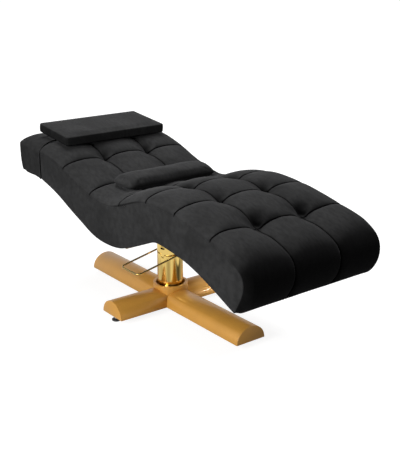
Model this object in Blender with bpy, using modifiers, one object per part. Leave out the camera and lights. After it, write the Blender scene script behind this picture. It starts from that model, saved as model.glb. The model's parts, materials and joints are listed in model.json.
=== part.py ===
"""Wave-shaped lash bed on a hydraulic column and a cross base. Metres, +Z up.

+X points to the foot end. The origin is on the floor under the middle of the bed's
length. Lengths along X below are measured from the axis of the column, which stands
at COLUMN_X.
"""

import math

import bmesh
import bpy
import numpy as np
from mathutils import Matrix, Vector

MM = 0.001
CLEARANCE = 0.3 * MM
CUT_OVERRUN = 12 * MM
MERGE = 0.01 * MM
COLUMN_X = -85 * MM

# Wave of the bed: stations of the flank's upper outline, from head end to foot end
SKIN_STATIONS = [
    (-727 * MM, 548 * MM), (-744 * MM, 600 * MM), (-743 * MM, 638 * MM), (-721 * MM, 653 * MM),
    (-640 * MM, 654 * MM), (-555 * MM, 654 * MM), (-480 * MM, 651 * MM), (-410 * MM, 639 * MM),
    (-329 * MM, 615 * MM), (-220 * MM, 580 * MM), (-115 * MM, 552 * MM), (-10 * MM, 539 * MM),
    (60 * MM, 545 * MM), (118 * MM, 560 * MM), (198 * MM, 589 * MM), (269 * MM, 611 * MM),
    (337 * MM, 620 * MM), (430 * MM, 618 * MM), (517 * MM, 610 * MM), (620 * MM, 592 * MM),
    (718 * MM, 568 * MM), (800 * MM, 542 * MM), (858 * MM, 514 * MM), (888 * MM, 487 * MM),
    (896 * MM, 457 * MM), (890 * MM, 424 * MM), (873 * MM, 386 * MM), (853 * MM, 349 * MM),
]
# Stations of the flank's lower outline, from head end to foot end
UNDER_STATIONS = [
    (-722 * MM, 542 * MM), (-706 * MM, 537 * MM), (-650 * MM, 535 * MM), (-578 * MM, 531 * MM),
    (-516 * MM, 519 * MM), (-443 * MM, 500 * MM), (-382 * MM, 480 * MM), (-296 * MM, 446 * MM),
    (-181 * MM, 404 * MM), (-123 * MM, 383 * MM), (-60 * MM, 369 * MM), (0 * MM, 365 * MM),
    (60 * MM, 367 * MM), (130 * MM, 379 * MM), (194 * MM, 402 * MM), (276 * MM, 435 * MM),
    (340 * MM, 462 * MM), (372 * MM, 471 * MM), (410 * MM, 471 * MM), (461 * MM, 466 * MM),
    (526 * MM, 457 * MM), (607 * MM, 438 * MM), (694 * MM, 408 * MM), (741 * MM, 389 * MM),
    (798 * MM, 364 * MM), (846 * MM, 344 * MM),
]
BED_WIDTH = 670 * MM

# Tufted top
SEAM_Y = 115 * MM
ROW_X = [-570 * MM, -342 * MM, -115 * MM, 118 * MM, 313 * MM, 498 * MM, 711 * MM]
CROWN_HEAD_FACE = 12 * MM
CROWN_TOP = 42 * MM
CROWN_NOSE = 34 * MM
CROWN_BLEND = 52 * MM
SHOULDER_WIDTH = 150 * MM
NOSE_SHOULDER = 45 * MM
NOSE_BLEND = 130 * MM
NOSE_ROUND = 32 * MM
NOSE_END_SHARE = 0.16
SIDE_CELL_SHARES = [0.6]
TUFT_DEPTH = 29 * MM
TUFT_RADIUS = 38 * MM
CROSS_SEAM_DEPTH = 6 * MM
CROSS_SEAM_RADIUS = 13 * MM
LONG_SEAM_DEPTH = 13 * MM
LONG_SEAM_RADIUS = 22 * MM
CUSHION_RIM = 6 * MM
CELL_SHARES = [0.0, 0.09, 0.28, 0.5, 0.72, 0.91]
OUTER_SHARES = [0.0, 0.02, 0.08, 0.2, 0.4, 0.68]
MIDDLE_SHARES = [0.0, 0.09, 0.28, 0.5, 0.72, 0.91]
END_RINGS = 9
NOSE_SHARES = [0.07, 0.16, 0.28, 0.4, 0.52, 0.63, 0.73, 0.82, 0.89, 0.94, 0.975, 1.0]

# Frame of the bed
FLANK_THICKNESS = 13 * MM
FLANK_EDGE = 4 * MM
FLANK_EDGE_STEPS = 1
BOARD_THICKNESS = 18 * MM
BOARD_SLACK = 1.5 * MM
DECK_THICKNESS = 5 * MM
UNDER_THICKNESS = 5 * MM
UNDER_INSET = 2 * MM
CORNER_MARGIN = 34 * MM
PANEL_END_MARGIN = 17 * MM
RAIL_WIDTH = 45 * MM
RAIL_HEIGHT = 28 * MM
RAIL_X = [-650 * MM, -440 * MM, -235 * MM, 235 * MM, 470 * MM, 760 * MM]
MOUNT_BOARD_LENGTH = 230 * MM
MOUNT_BOARD_THICKNESS = 28 * MM
MOUNT_BOARD_Z = 366 * MM

# Cross base
BEAM_HALF_WIDTH = 74 * MM
BEAM_HEIGHT = 68 * MM
BEAM_WALL = 3 * MM
BEAM_Z = 25.3 * MM
LONG_REACH = 560 * MM
SHORT_REACH = 314 * MM
END_PLATE = 4 * MM
FOOT_PLATE_LENGTH = 60 * MM
FOOT_PLATE_THICKNESS = 5 * MM
HUB_PLATE_LENGTH = 150 * MM
HUB_PLATE_THICKNESS = 8 * MM
COLLAR_RADIUS = 79 * MM
COLLAR_BORE = 66 * MM
COLLAR_TOP = 112 * MM
COLLAR_LOW = 52 * MM
KEY_ANGLE = math.radians(-50)
KEY_WIDTH = 18 * MM
KEY_HEIGHT = 16 * MM
KEY_RISE = 3 * MM

# Levelling feet
PAD_RADIUS = 20 * MM
PAD_HEIGHT = 9 * MM
PAD_LIP = 2.5 * MM
FOOT_INSET = 17 * MM
LONG_FOOT_INSET = 90 * MM
STUD_RADIUS = 5 * MM
STUD_TOP = 48 * MM
HEX_RADIUS = 9.5 * MM
HEX_HEIGHT = 6 * MM
STUD_SOCKET = 4 * MM

# Hydraulic pump
PUMP_RADIUS = 50 * MM
PUMP_TOP = 318 * MM
PUMP_FLOOR = 58 * MM
FLANGE_RADIUS = 66 * MM
FLANGE_THICKNESS = 10 * MM
FLANGE_BOLT_CIRCLE = 58 * MM
FLANGE_BOLT_TURNS = [math.radians(turn) for turn in (20, 160, 200, 340)]
BOLT_HEAD_RADIUS = 6.5 * MM
BOLT_HEAD_HEIGHT = 8 * MM
BOLT_RADIUS = 4 * MM
COVER_RADIUS = 58.6 * MM
COVER_WALL = 2 * MM
COVER_LOW = 117 * MM
COVER_TOP = 330 * MM
HEAD_FLANGE_RADIUS = 60 * MM
HEAD_TOP = 338 * MM
PISTON_RADIUS = 25 * MM
PISTON_LOW = 62 * MM
PISTON_TOP = 352 * MM
SLOT_ANGLE = math.radians(-71)
SLOT_WIDTH = 22 * MM
SLOT_HEIGHT = 8 * MM
SLOT_Z = 285 * MM

# Pedal
PEDAL_Z = 258 * MM
PEDAL_X = 67 * MM
PEDAL_REACH = 224 * MM
PEDAL_DROOP = math.radians(11.5)
PEDAL_ROD = 4 * MM
PEDAL_CORNER = 22 * MM
PEDAL_CORNER_STEPS = 6
EYE_RADIUS = 12 * MM
EYE_WIDTH = 8 * MM
EYE_STEPS = 24
PIN_RADIUS = 5 * MM
PIN_SHOULDER = 8 * MM
PIN_HEAD_RADIUS = 9 * MM
PIN_HEAD = 4 * MM

# Swivel plate
PLATE_SIDE = 200 * MM
PLATE_THICKNESS = 6 * MM
BOSS_RADIUS = 36 * MM
BOSS_LOW = 342 * MM
BORE_DEPTH = 11 * MM
PLATE_BOLT = 80 * MM
PLATE_BOLT_HEAD = 7.5 * MM
PLATE_BOLT_HEAD_HEIGHT = 6 * MM
PLATE_BOLT_LENGTH = 30 * MM
PLATE_BOLT_ROOT = 1 * MM

# Head hood, flap and pillows
HOOD_HEM_X = -562 * MM
HOOD_CLEARANCE = 1.5 * MM
HOOD_WALL = 4.5 * MM
HOOD_SLACK = 1 * MM
HOOD_SHARES = [0.0, 0.008, 0.025, 0.06, 0.1, 0.16, 0.25, 0.38, 0.52, 0.68, 0.84]
HOOD_ROLL = 2.2 * MM
HOOD_ROLL_WIDTH = 12 * MM
HOOD_SHOULDER_Y = 58 * MM
HOOD_SHOULDER_Z = 56 * MM
HOOD_INNER_SHARE = 0.86
HOOD_CORNER = 20 * MM
HOOD_STEPS = 6
HOOD_SAMPLES = 120
FLAP_WIDTH = 500 * MM
FLAP_THICKNESS = 2.5 * MM
FLAP_FROM_X = -604 * MM
FLAP_TO_X = -500 * MM
HEAD_PILLOW_WIDTH = 532 * MM
HEAD_PILLOW_LENGTH = 268 * MM
HEAD_PILLOW_THICKNESS = 40 * MM
HEAD_PILLOW_X = -545 * MM
PILLOW_RISE = 11.1 * MM
HOOD_TOP = SKIN_STATIONS[5][1] + CROWN_TOP + HOOD_CLEARANCE + HOOD_WALL
HEAD_PILLOW_Z = HOOD_TOP + HEAD_PILLOW_THICKNESS / 2 + PILLOW_RISE
HEAD_PILLOW_TILT = math.radians(5.8)
PILLOW_ROUND = 12 * MM
PILLOW_CROWN = 3 * MM
PILLOW_STEPS = 3
PILLOW_END_SHARES = [0.03, 0.15, 0.4, 1.0]
PILLOW_MIDDLE_SHARES = [0.5, 0.0, -0.5]
LUMBAR_WIDTH = 462 * MM
LUMBAR_LENGTH = 136 * MM
LUMBAR_HEIGHT = 43 * MM
LUMBAR_X = -30 * MM
LUMBAR_LIFT = 1.5 * MM
LUMBAR_EDGE = 4 * MM
LUMBAR_END = 55 * MM
LUMBAR_TIP_SHARE = 0.1
LUMBAR_END_SHARE = 0.86
LUMBAR_FOOT_SHARE = 0.94
LUMBAR_RINGS = 21
LUMBAR_STEPS = 14

ROUND = 40
BIG_ROUND = 60
SMALL_ROUND = 20
PAD_STEPS = 22
ARCH_STEPS = 30
WAVE_STEP = 24 * MM

VELVET = (0.018, 0.018, 0.019)
VELVET_ROUGHNESS = 0.92
LINING = (0.012, 0.012, 0.013)
LINING_ROUGHNESS = 0.95
GOLD_PAINT = (0.62, 0.32, 0.09)
GOLD_ROUGHNESS = 0.42
BRASS = (0.83, 0.62, 0.24)
BRASS_ROUGHNESS = 0.12
STEEL = (0.52, 0.52, 0.53)
STEEL_ROUGHNESS = 0.35
PLYWOOD = (0.55, 0.38, 0.2)
PLYWOOD_ROUGHNESS = 0.7
PLASTIC = (0.015, 0.015, 0.016)
PLASTIC_ROUGHNESS = 0.5


def clear_scene():
    for item in list(bpy.data.objects):
        bpy.data.objects.remove(item, do_unlink=True)


def new_collection(name):
    group = bpy.data.collections.new(name)
    bpy.context.scene.collection.children.link(group)
    return group


clear_scene()
PARTS = new_collection("Lash bed")
CUTTERS = new_collection("Cutters")


def material_for(name, color, roughness, metallic):
    made = bpy.data.materials.new(name)
    made.use_nodes = True
    made.diffuse_color = (*color, 1.0)
    shader = made.node_tree.nodes["Principled BSDF"]
    shader.inputs["Base Color"].default_value = (*color, 1.0)
    shader.inputs["Roughness"].default_value = roughness
    shader.inputs["Metallic"].default_value = metallic
    return made


def finish(item, name, look, parent=None):
    """Names a part, gives it its own material and puts it in the collection of parts."""
    color, roughness, metallic = look
    item.name = name
    item.data.name = name
    for group in list(item.users_collection):
        group.objects.unlink(item)
    PARTS.objects.link(item)
    item.data.materials.clear()
    item.data.materials.append(material_for(name, color, roughness, metallic))
    item.data.shade_smooth()
    item.data.set_sharp_from_angle(angle=math.radians(35))
    if parent is not None:
        item.parent = parent
        item.matrix_parent_inverse = parent.matrix_world.inverted()
    return item


def as_cutter(item):
    for group in list(item.users_collection):
        group.objects.unlink(item)
    CUTTERS.objects.link(item)
    item.hide_render = True
    item.display_type = "WIRE"
    return item


def boolean(item, other, operation):
    step = item.modifiers.new(operation.lower(), "BOOLEAN")
    step.operation = operation
    step.solver = "EXACT"
    step.object = other
    return item


def cut(item, cutter):
    return boolean(item, as_cutter(cutter), "DIFFERENCE")


def join(item, other):
    return boolean(item, as_cutter(other), "UNION")


def settle(item):
    """Replaces an object's mesh by its evaluated one, with its modifiers done."""
    bpy.context.view_layer.update()
    graph = bpy.context.evaluated_depsgraph_get()
    mesh = bpy.data.meshes.new_from_object(item.evaluated_get(graph))
    item.modifiers.clear()
    item.data = mesh
    return item


def box(size, location, angle=0.0):
    bpy.ops.mesh.primitive_cube_add(size=1.0, location=location, rotation=(0.0, 0.0, angle))
    item = bpy.context.object
    item.scale = size
    bpy.ops.object.transform_apply(location=False, rotation=False, scale=True)
    return item


def rod(radius, length, location, direction=(0.0, 0.0, 1.0), steps=SMALL_ROUND):
    turn = Vector((0.0, 0.0, 1.0)).rotation_difference(Vector(direction))
    bpy.ops.mesh.primitive_cylinder_add(
        vertices=steps, radius=radius, depth=length, location=location
    )
    item = bpy.context.object
    item.rotation_euler = turn.to_euler()
    return item


def turned(profile, location=(0.0, 0.0, 0.0), direction=(0.0, 0.0, 1.0), steps=ROUND):
    """A closed body turned from (radius, height) points that run down the outer side."""
    shape = bmesh.new()
    corners = [shape.verts.new((radius, 0.0, height)) for radius, height in profile]
    for first, second in zip(corners, corners[1:]):
        shape.edges.new((first, second))
    if profile[0][0] > 0.0:
        shape.edges.new((corners[-1], corners[0]))
    mesh = bpy.data.meshes.new("turned")
    shape.to_mesh(mesh)
    shape.free()
    item = bpy.data.objects.new("turned", mesh)
    PARTS.objects.link(item)
    screw = item.modifiers.new("turn", "SCREW")
    screw.axis = "Z"
    screw.angle = math.tau
    screw.steps = steps
    screw.render_steps = steps
    screw.use_merge_vertices = True
    screw.merge_threshold = MERGE
    item.location = location
    item.rotation_euler = Vector((0.0, 0.0, 1.0)).rotation_difference(Vector(direction)).to_euler()
    return item


def curve_to_mesh(item):
    """Turns a curve object into a mesh object with its caps welded on."""
    bpy.context.view_layer.update()
    graph = bpy.context.evaluated_depsgraph_get()
    mesh = bpy.data.meshes.new_from_object(item.evaluated_get(graph))
    shape = bmesh.new()
    shape.from_mesh(mesh)
    bmesh.ops.remove_doubles(shape, verts=shape.verts, dist=MERGE)
    bmesh.ops.recalc_face_normals(shape, faces=shape.faces)
    shape.to_mesh(mesh)
    shape.free()
    made = bpy.data.objects.new(item.name, mesh)
    made.matrix_world = item.matrix_world
    PARTS.objects.link(made)
    bpy.data.objects.remove(item, do_unlink=True)
    return made


def outline_solid(points, thickness, matrix):
    """A flat outline in a local XY plane, extruded to a thickness about that plane."""
    data = bpy.data.curves.new("outline", "CURVE")
    data.dimensions = "2D"
    data.fill_mode = "BOTH"
    data.extrude = thickness / 2
    line = data.splines.new("POLY")
    line.points.add(len(points) - 1)
    for point, (across, up) in zip(line.points, points):
        point.co = (across, up, 0.0, 1.0)
    line.use_cyclic_u = True
    item = bpy.data.objects.new("outline", data)
    PARTS.objects.link(item)
    item.matrix_world = matrix
    return curve_to_mesh(item)


def loft(rings):
    """A closed body through rings of equal length, capped at both ends."""
    shape = bmesh.new()
    rows = [[shape.verts.new(tuple(point)) for point in ring] for ring in rings]
    count = len(rows[0])
    for near, far in zip(rows, rows[1:]):
        for k in range(count):
            after = (k + 1) % count
            shape.faces.new((near[k], near[after], far[after], far[k]))
    shape.faces.new(rows[0])
    shape.faces.new(rows[-1])
    bmesh.ops.recalc_face_normals(shape, faces=shape.faces)
    mesh = bpy.data.meshes.new("loft")
    shape.to_mesh(mesh)
    shape.free()
    item = bpy.data.objects.new("loft", mesh)
    PARTS.objects.link(item)
    return item


def spline_through(stations, step):
    """Points and outward normals of a smooth curve through the stations, by length."""
    knots = np.array(stations)
    chord = np.concatenate([[0.0], np.cumsum(np.linalg.norm(np.diff(knots, axis=0), axis=1))])
    spans = np.diff(chord)
    size = len(knots)
    system = np.zeros((size, size))
    right = np.zeros((size, 2))
    system[0, 0] = system[-1, -1] = 1.0
    for k in range(1, size - 1):
        system[k, k - 1 : k + 2] = spans[k - 1], 2 * (spans[k - 1] + spans[k]), spans[k]
        rise = (knots[k + 1] - knots[k]) / spans[k] - (knots[k] - knots[k - 1]) / spans[k - 1]
        right[k] = 6 * rise
    bend = np.linalg.solve(system, right)
    places = np.linspace(0.0, chord[-1], max(8, int(round(chord[-1] / step)) + 1))
    cell = np.clip(np.searchsorted(chord, places, side="right") - 1, 0, size - 2)
    after = (places - chord[cell])[:, None]
    before = (chord[cell + 1] - places)[:, None]
    span = spans[cell][:, None]
    points = (
        bend[cell] * before**3 / (6 * span)
        + bend[cell + 1] * after**3 / (6 * span)
        + (knots[cell] / span - bend[cell] * span / 6) * before
        + (knots[cell + 1] / span - bend[cell + 1] * span / 6) * after
    )
    slope = np.gradient(points, axis=0)
    slope /= np.linalg.norm(slope, axis=1)[:, None]
    return points, np.stack([-slope[:, 1], slope[:, 0]], axis=1)


FINE = 2 * MM
SKIN, SKIN_NORMAL = spline_through(SKIN_STATIONS, FINE)
UNDER, UNDER_NORMAL = spline_through(UNDER_STATIONS, FINE)


def lengths_of(path):
    return np.concatenate([[0.0], np.cumsum(np.linalg.norm(np.diff(path, axis=0), axis=1))])


SKIN_LENGTH = lengths_of(SKIN)
UNDER_LENGTH = lengths_of(UNDER)


def on_skin(length):
    """Point and outward normal of the flank's upper outline at a length from the head end."""
    point = [np.interp(length, SKIN_LENGTH, SKIN[:, k]) for k in (0, 1)]
    normal = [np.interp(length, SKIN_LENGTH, SKIN_NORMAL[:, k]) for k in (0, 1)]
    return np.array(point), np.array(normal) / np.linalg.norm(normal)


def on_under(length):
    point = [np.interp(length, UNDER_LENGTH, UNDER[:, k]) for k in (0, 1)]
    normal = [np.interp(length, UNDER_LENGTH, UNDER_NORMAL[:, k]) for k in (0, 1)]
    return np.array(point), np.array(normal) / np.linalg.norm(normal)


TOP_START = int(np.argmax(SKIN[:, 1] > SKIN_STATIONS[2][1]))
NOSE_START = int(np.argmax(SKIN[:, 0] > ROW_X[-1]))


def skin_length_at(x):
    """Length along the top of the wave where it passes over x."""
    part = slice(TOP_START, int(np.argmax(SKIN[:, 0])))
    return float(np.interp(x, SKIN[part, 0], SKIN_LENGTH[part]))


def under_length_at(x):
    return float(np.interp(x, UNDER[:, 0], UNDER_LENGTH))


ROW_LENGTH = [skin_length_at(x) for x in ROW_X]
SKIN_END = float(SKIN_LENGTH[-1])


def smooth_share(value, low, high):
    share = min(1.0, max(0.0, (value - low) / (high - low)))
    return share * share * (3 - 2 * share)


def nose_share(length):
    """How far the domed top has turned into the boxy nose, from 0 to 1."""
    return smooth_share(length, ROW_LENGTH[-1] - NOSE_BLEND, ROW_LENGTH[-1] + NOSE_BLEND)


def crown_at(length):
    """Height of the cushion's crown over the flank's outline."""
    head = float(SKIN_LENGTH[TOP_START])
    share = smooth_share(length, head - CROWN_BLEND, head + CROWN_BLEND)
    crown = CROWN_HEAD_FACE + (CROWN_TOP - CROWN_HEAD_FACE) * share
    crown += (CROWN_NOSE - CROWN_TOP) * nose_share(length)
    inward = min(1.0, (SKIN_END - length) / NOSE_ROUND)
    return crown * (NOSE_END_SHARE + (1 - NOSE_END_SHARE) * (1 - (1 - inward) ** 2))


def cushion_height(length, y):
    """Height of the tufted top over the flank's outline, with its seams and pulled knots."""
    edge = BED_WIDTH / 2
    width = SHOULDER_WIDTH + (NOSE_SHOULDER - SHOULDER_WIDTH) * nose_share(length)
    inward = min(1.0, (edge - abs(y)) / width)
    shoulder = math.sqrt(max(0.0, 1 - (1 - inward) ** 2))
    to_row = min(abs(length - row) for row in ROW_LENGTH)
    to_seam = abs(abs(y) - SEAM_Y)
    on_top = smooth_share(length, ROW_LENGTH[0] - TUFT_RADIUS, ROW_LENGTH[0])
    row = CROSS_SEAM_DEPTH * math.exp(-((to_row / CROSS_SEAM_RADIUS) ** 2))
    seam = LONG_SEAM_DEPTH * math.exp(-((to_seam / LONG_SEAM_RADIUS) ** 2)) * on_top
    knot = math.exp(-(to_row**2 + to_seam**2) / TUFT_RADIUS**2)
    groove = max(row, seam)
    pull = (TUFT_DEPTH - LONG_SEAM_DEPTH) * knot
    return max(0.0, crown_at(length) - groove - pull) * shoulder


def wave_ring(length, section):
    """A section given as (y, height over the skin), placed across the wave."""
    point, normal = on_skin(length)
    return [
        (point[0] + normal[0] * up, y, point[1] + normal[1] * up) for y, up in section
    ]


def spread(marks, shares):
    """Places between marks, at shares of each span."""
    places = []
    for low, high in zip(marks, marks[1:]):
        places += [low + (high - low) * share for share in shares]
    return places + [marks[-1]]


def wave_cuts():
    """Lengths along the skin where the cushion, deck and flanks share a section."""
    head = list(np.linspace(0.0, ROW_LENGTH[0], END_RINGS))[:-1]
    reach = SKIN_END - ROW_LENGTH[-1]
    nose = [ROW_LENGTH[-1] + reach * share for share in NOSE_SHARES]
    return head + spread(ROW_LENGTH, CELL_SHARES) + nose


def make_cushion():
    edge = BED_WIDTH / 2
    inner = edge - SHOULDER_WIDTH
    outer = [edge - SHOULDER_WIDTH * share for share in OUTER_SHARES] + [inner]
    half = outer + [inner + (SEAM_Y - inner) * share for share in SIDE_CELL_SHARES]
    middle = spread([-SEAM_Y, SEAM_Y], MIDDLE_SHARES)
    across = [-y for y in half] + middle + list(reversed(half))
    rings = []
    for length in wave_cuts():
        section = [(y, cushion_height(length, y)) for y in across]
        section += [(edge, -CUSHION_RIM), (-edge, -CUSHION_RIM)]
        rings.append(wave_ring(length, section))
    return loft(rings)


def outline_of_board(skin_inset, under_inset, margin):
    """Closed outline between the two curves of the flank, inset from both, in (x, z)."""
    top = [cut_at for cut_at in wave_cuts() if margin < cut_at < SKIN_END - margin]
    low = np.arange(margin, UNDER_LENGTH[-1] - margin, WAVE_STEP)
    upper = [point - normal * skin_inset for point, normal in map(on_skin, top)]
    lower = [point + normal * under_inset for point, normal in map(on_under, low)]
    return [tuple(point) for point in upper + lower[::-1]]


def upright(y):
    """Places a local XY outline in the XZ plane at y."""
    return Matrix.Translation((0.0, y, 0.0)) @ Matrix.Rotation(math.radians(90), 4, "X")


def flank_outline():
    top = wave_cuts()
    low = np.linspace(0.0, UNDER_LENGTH[-1], int(UNDER_LENGTH[-1] / WAVE_STEP) + 2)
    drop = CUSHION_RIM + CLEARANCE
    upper = [point - normal * drop for point, normal in map(on_skin, top)]
    lower = [point for point, _ in map(on_under, low)]
    return [tuple(point) for point in upper + lower[::-1]]


def make_sheet(curve, lengths, half_width, low, high):
    """A thin panel that follows a curve, between two heights over it."""
    rings = []
    for length in lengths:
        point, normal = curve(length)
        section = [(-half_width, low), (half_width, low), (half_width, high), (-half_width, high)]
        rings.append(
            [(point[0] + normal[0] * up, y, point[1] + normal[1] * up) for y, up in section]
        )
    return loft(rings)


def velvet():
    return VELVET, VELVET_ROUGHNESS, 0.0


def lining():
    return LINING, LINING_ROUGHNESS, 0.0


def gold():
    return GOLD_PAINT, GOLD_ROUGHNESS, 0.6


def brass():
    return BRASS, BRASS_ROUGHNESS, 1.0


def steel():
    return STEEL, STEEL_ROUGHNESS, 1.0


def wood():
    return PLYWOOD, PLYWOOD_ROUGHNESS, 0.0


def plastic():
    return PLASTIC, PLASTIC_ROUGHNESS, 0.0


def empty_at(name, location):
    item = bpy.data.objects.new(name, None)
    item.location = location
    PARTS.objects.link(item)
    bpy.context.view_layer.update()
    return item


def build_bed_frame(bed):
    edge = BED_WIDTH / 2
    board_out = edge - FLANK_THICKNESS - CLEARANCE
    board_mid = board_out - BOARD_THICKNESS / 2
    deck_low = -(CUSHION_RIM + CLEARANCE + DECK_THICKNESS)
    under_top = UNDER_INSET + UNDER_THICKNESS
    for side, mark in ((-1, "near"), (1, "far")):
        flank = outline_solid(
            flank_outline(), FLANK_THICKNESS, upright(side * (edge - FLANK_THICKNESS / 2))
        )
        bevel = flank.modifiers.new("edge", "BEVEL")
        bevel.width = FLANK_EDGE
        bevel.segments = FLANK_EDGE_STEPS
        bevel.limit_method = "ANGLE"
        bevel.angle_limit = math.radians(60)
        finish(flank, "flank_panel_" + mark, velvet(), bed)
        outline = outline_of_board(
            -deck_low + CLEARANCE, under_top + BOARD_SLACK, CORNER_MARGIN
        )
        board = outline_solid(outline, BOARD_THICKNESS, upright(side * board_mid))
        finish(board, "side_board_" + mark, wood(), bed)
    deck_lengths = [
        cut_at for cut_at in wave_cuts() if CORNER_MARGIN < cut_at < SKIN_END - CORNER_MARGIN
    ]
    deck = make_sheet(on_skin, deck_lengths, board_out, deck_low, -(CUSHION_RIM + CLEARANCE))
    finish(deck, "deck_panel", wood(), bed)
    reach = MOUNT_BOARD_LENGTH / 2
    gap_end = reach + under_top
    spans = (
        ("head", PANEL_END_MARGIN, under_length_at(-gap_end)),
        ("foot", under_length_at(gap_end), UNDER_LENGTH[-1] - PANEL_END_MARGIN),
    )
    for mark, low, high in spans:
        places = np.linspace(low, high, int((high - low) / WAVE_STEP) + 2)
        panel = make_sheet(on_under, places, board_out, UNDER_INSET, under_top)
        finish(panel, "underside_panel_" + mark, lining(), bed)
    between = 2 * (board_mid - BOARD_THICKNESS / 2 - CLEARANCE)
    for number, x in enumerate(RAIL_X, 1):
        top, _ = on_skin(skin_length_at(x))
        low, _ = on_under(under_length_at(x))
        rail = box((RAIL_WIDTH, between, RAIL_HEIGHT), (x, 0.0, (top[1] + low[1]) / 2))
        finish(rail, "cross_rail_" + str(number), wood(), bed)
    mount_z = MOUNT_BOARD_Z + MOUNT_BOARD_THICKNESS / 2
    mount = box((MOUNT_BOARD_LENGTH, between, MOUNT_BOARD_THICKNESS), (0.0, 0.0, mount_z))
    for x in (-PLATE_BOLT, PLATE_BOLT):
        for y in (-PLATE_BOLT, PLATE_BOLT):
            hole = rod(BOLT_RADIUS + CLEARANCE, MOUNT_BOARD_THICKNESS + CUT_OVERRUN, (x, y, mount_z))
            cut(mount, hole)
    finish(mount, "mounting_board", wood(), bed)
    finish(make_cushion(), "top_cushion", velvet(), bed)


def hood_rings(offset, shoulder_share, hem_x, roll, below):
    """Sections across the head end, each following the crown of the cushion under it."""
    crest = []
    for length in np.linspace(0.0, ROW_LENGTH[0] + SHOULDER_WIDTH, HOOD_SAMPLES):
        point, normal = on_skin(length)
        crest.append(point + normal * (crown_at(length) + offset))
    crest = np.array(crest)
    first = int(np.argmin(crest[:, 0]))
    crest = crest[first:]
    peak = np.maximum.accumulate(crest[:, 1])
    front = float(crest[0, 0])
    places = [front + (hem_x - front) * share for share in HOOD_SHARES]
    places += [hem_x - HOOD_ROLL_WIDTH, hem_x - HOOD_ROLL_WIDTH / 2, hem_x]
    half = BED_WIDTH / 2 + offset
    rings = []
    for number, x in enumerate(places):
        swell = roll if number >= len(places) - 2 else 0.0
        top = float(np.interp(x, crest[:, 0], peak)) + swell
        low = float(np.interp(x, UNDER[:, 0], UNDER[:, 1])) - HOOD_SLACK - below
        inward = min(1.0, (x - front) / HOOD_CORNER)
        corner = HOOD_CORNER * (1 - math.sqrt(1 - (1 - inward) ** 2))
        wide = half + swell - corner * shoulder_share
        low = min(low, top - HOOD_ROLL_WIDTH)
        across = HOOD_SHOULDER_Y * shoulder_share
        drop = min(HOOD_SHOULDER_Z * shoulder_share, (top - low) / 2)
        right = []
        for step in range(HOOD_STEPS + 1):
            turn = math.radians(90) * step / HOOD_STEPS
            right.append((wide - across * (1 - math.cos(turn)), top - drop * (1 - math.sin(turn))))
        left = [(-y, z) for y, z in reversed(right)]
        section = [(wide, low)] + right + left + [(-wide, low)]
        rings.append([(x, y, z) for y, z in section])
    return rings


def rounded_corners(half_x, half_z, radius):
    """Outline of a rounded bar in (x, z), with points along its long sides for the crown."""
    points = []
    for quarter, (side_x, side_z) in enumerate(((1, 1), (-1, 1), (-1, -1), (1, -1))):
        for step in range(PILLOW_STEPS + 1):
            turn = math.radians(90) * (quarter + step / PILLOW_STEPS)
            x = side_x * (half_x - radius) + radius * math.cos(turn)
            z = side_z * (half_z - radius) + radius * math.sin(turn)
            points.append((x, z))
        if quarter % 2 == 0:
            middle = [(half_x - radius) * share for share in PILLOW_MIDDLE_SHARES]
            points += [(side_x * x, side_z * half_z) for x in middle]
    return points


def build_headrest(headrest):
    outer = loft(hood_rings(HOOD_CLEARANCE + HOOD_WALL, 1.0, HOOD_HEM_X, HOOD_ROLL, 0.0))
    hem = HOOD_HEM_X + CUT_OVERRUN
    cut(outer, loft(hood_rings(HOOD_CLEARANCE, HOOD_INNER_SHARE, hem, 0.0, CUT_OVERRUN)))
    finish(settle(outer), "head_hood", velvet(), headrest)
    tilt = Matrix.Rotation(HEAD_PILLOW_TILT, 4, "Y")
    half = HEAD_PILLOW_LENGTH / 2, HEAD_PILLOW_WIDTH / 2, HEAD_PILLOW_THICKNESS / 2
    centre = Vector((HEAD_PILLOW_X, 0.0, HEAD_PILLOW_Z))
    places = [half[1] - PILLOW_ROUND * share for share in PILLOW_END_SHARES]
    places = [-y for y in places] + [-half[1] / 2, 0.0, half[1] / 2] + places[::-1]
    rings = []
    for y in places:
        inward = min(1.0, (half[1] - abs(y)) / PILLOW_ROUND)
        inset = PILLOW_ROUND * (1 - math.sqrt(1 - (1 - inward) ** 2))
        swell = 1 - (y / half[1]) ** 2
        ring = []
        for x, z in rounded_corners(half[0] - inset, half[2] - inset, PILLOW_ROUND - inset):
            z += math.copysign(PILLOW_CROWN * swell * (1 - (x / half[0]) ** 2), z)
            ring.append(centre + tilt @ Vector((x, y, z)))
        rings.append(ring)
    finish(loft(rings), "head_pillow", velvet(), headrest)
    flap_mid = (FLAP_FROM_X + FLAP_TO_X) / 2
    pillow_low = HEAD_PILLOW_Z - half[2] / math.cos(HEAD_PILLOW_TILT)
    pillow_low -= (flap_mid - HEAD_PILLOW_X) * math.tan(HEAD_PILLOW_TILT)
    flap_z = pillow_low - PILLOW_CROWN - FLAP_THICKNESS / 2 - 2 * CLEARANCE
    flap = box((FLAP_TO_X - FLAP_FROM_X, FLAP_WIDTH, FLAP_THICKNESS), (flap_mid, 0.0, flap_z))
    flap.rotation_euler = (0.0, HEAD_PILLOW_TILT, 0.0)
    finish(flap, "hood_flap", velvet(), headrest)


def crest_at(x):
    """Height of the cushion's crown where the wave passes over x, seams left out."""
    crest = SKIN + SKIN_NORMAL * CROWN_TOP
    part = slice(TOP_START, NOSE_START)
    return float(np.interp(x, crest[part, 0], crest[part, 1]))


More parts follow.
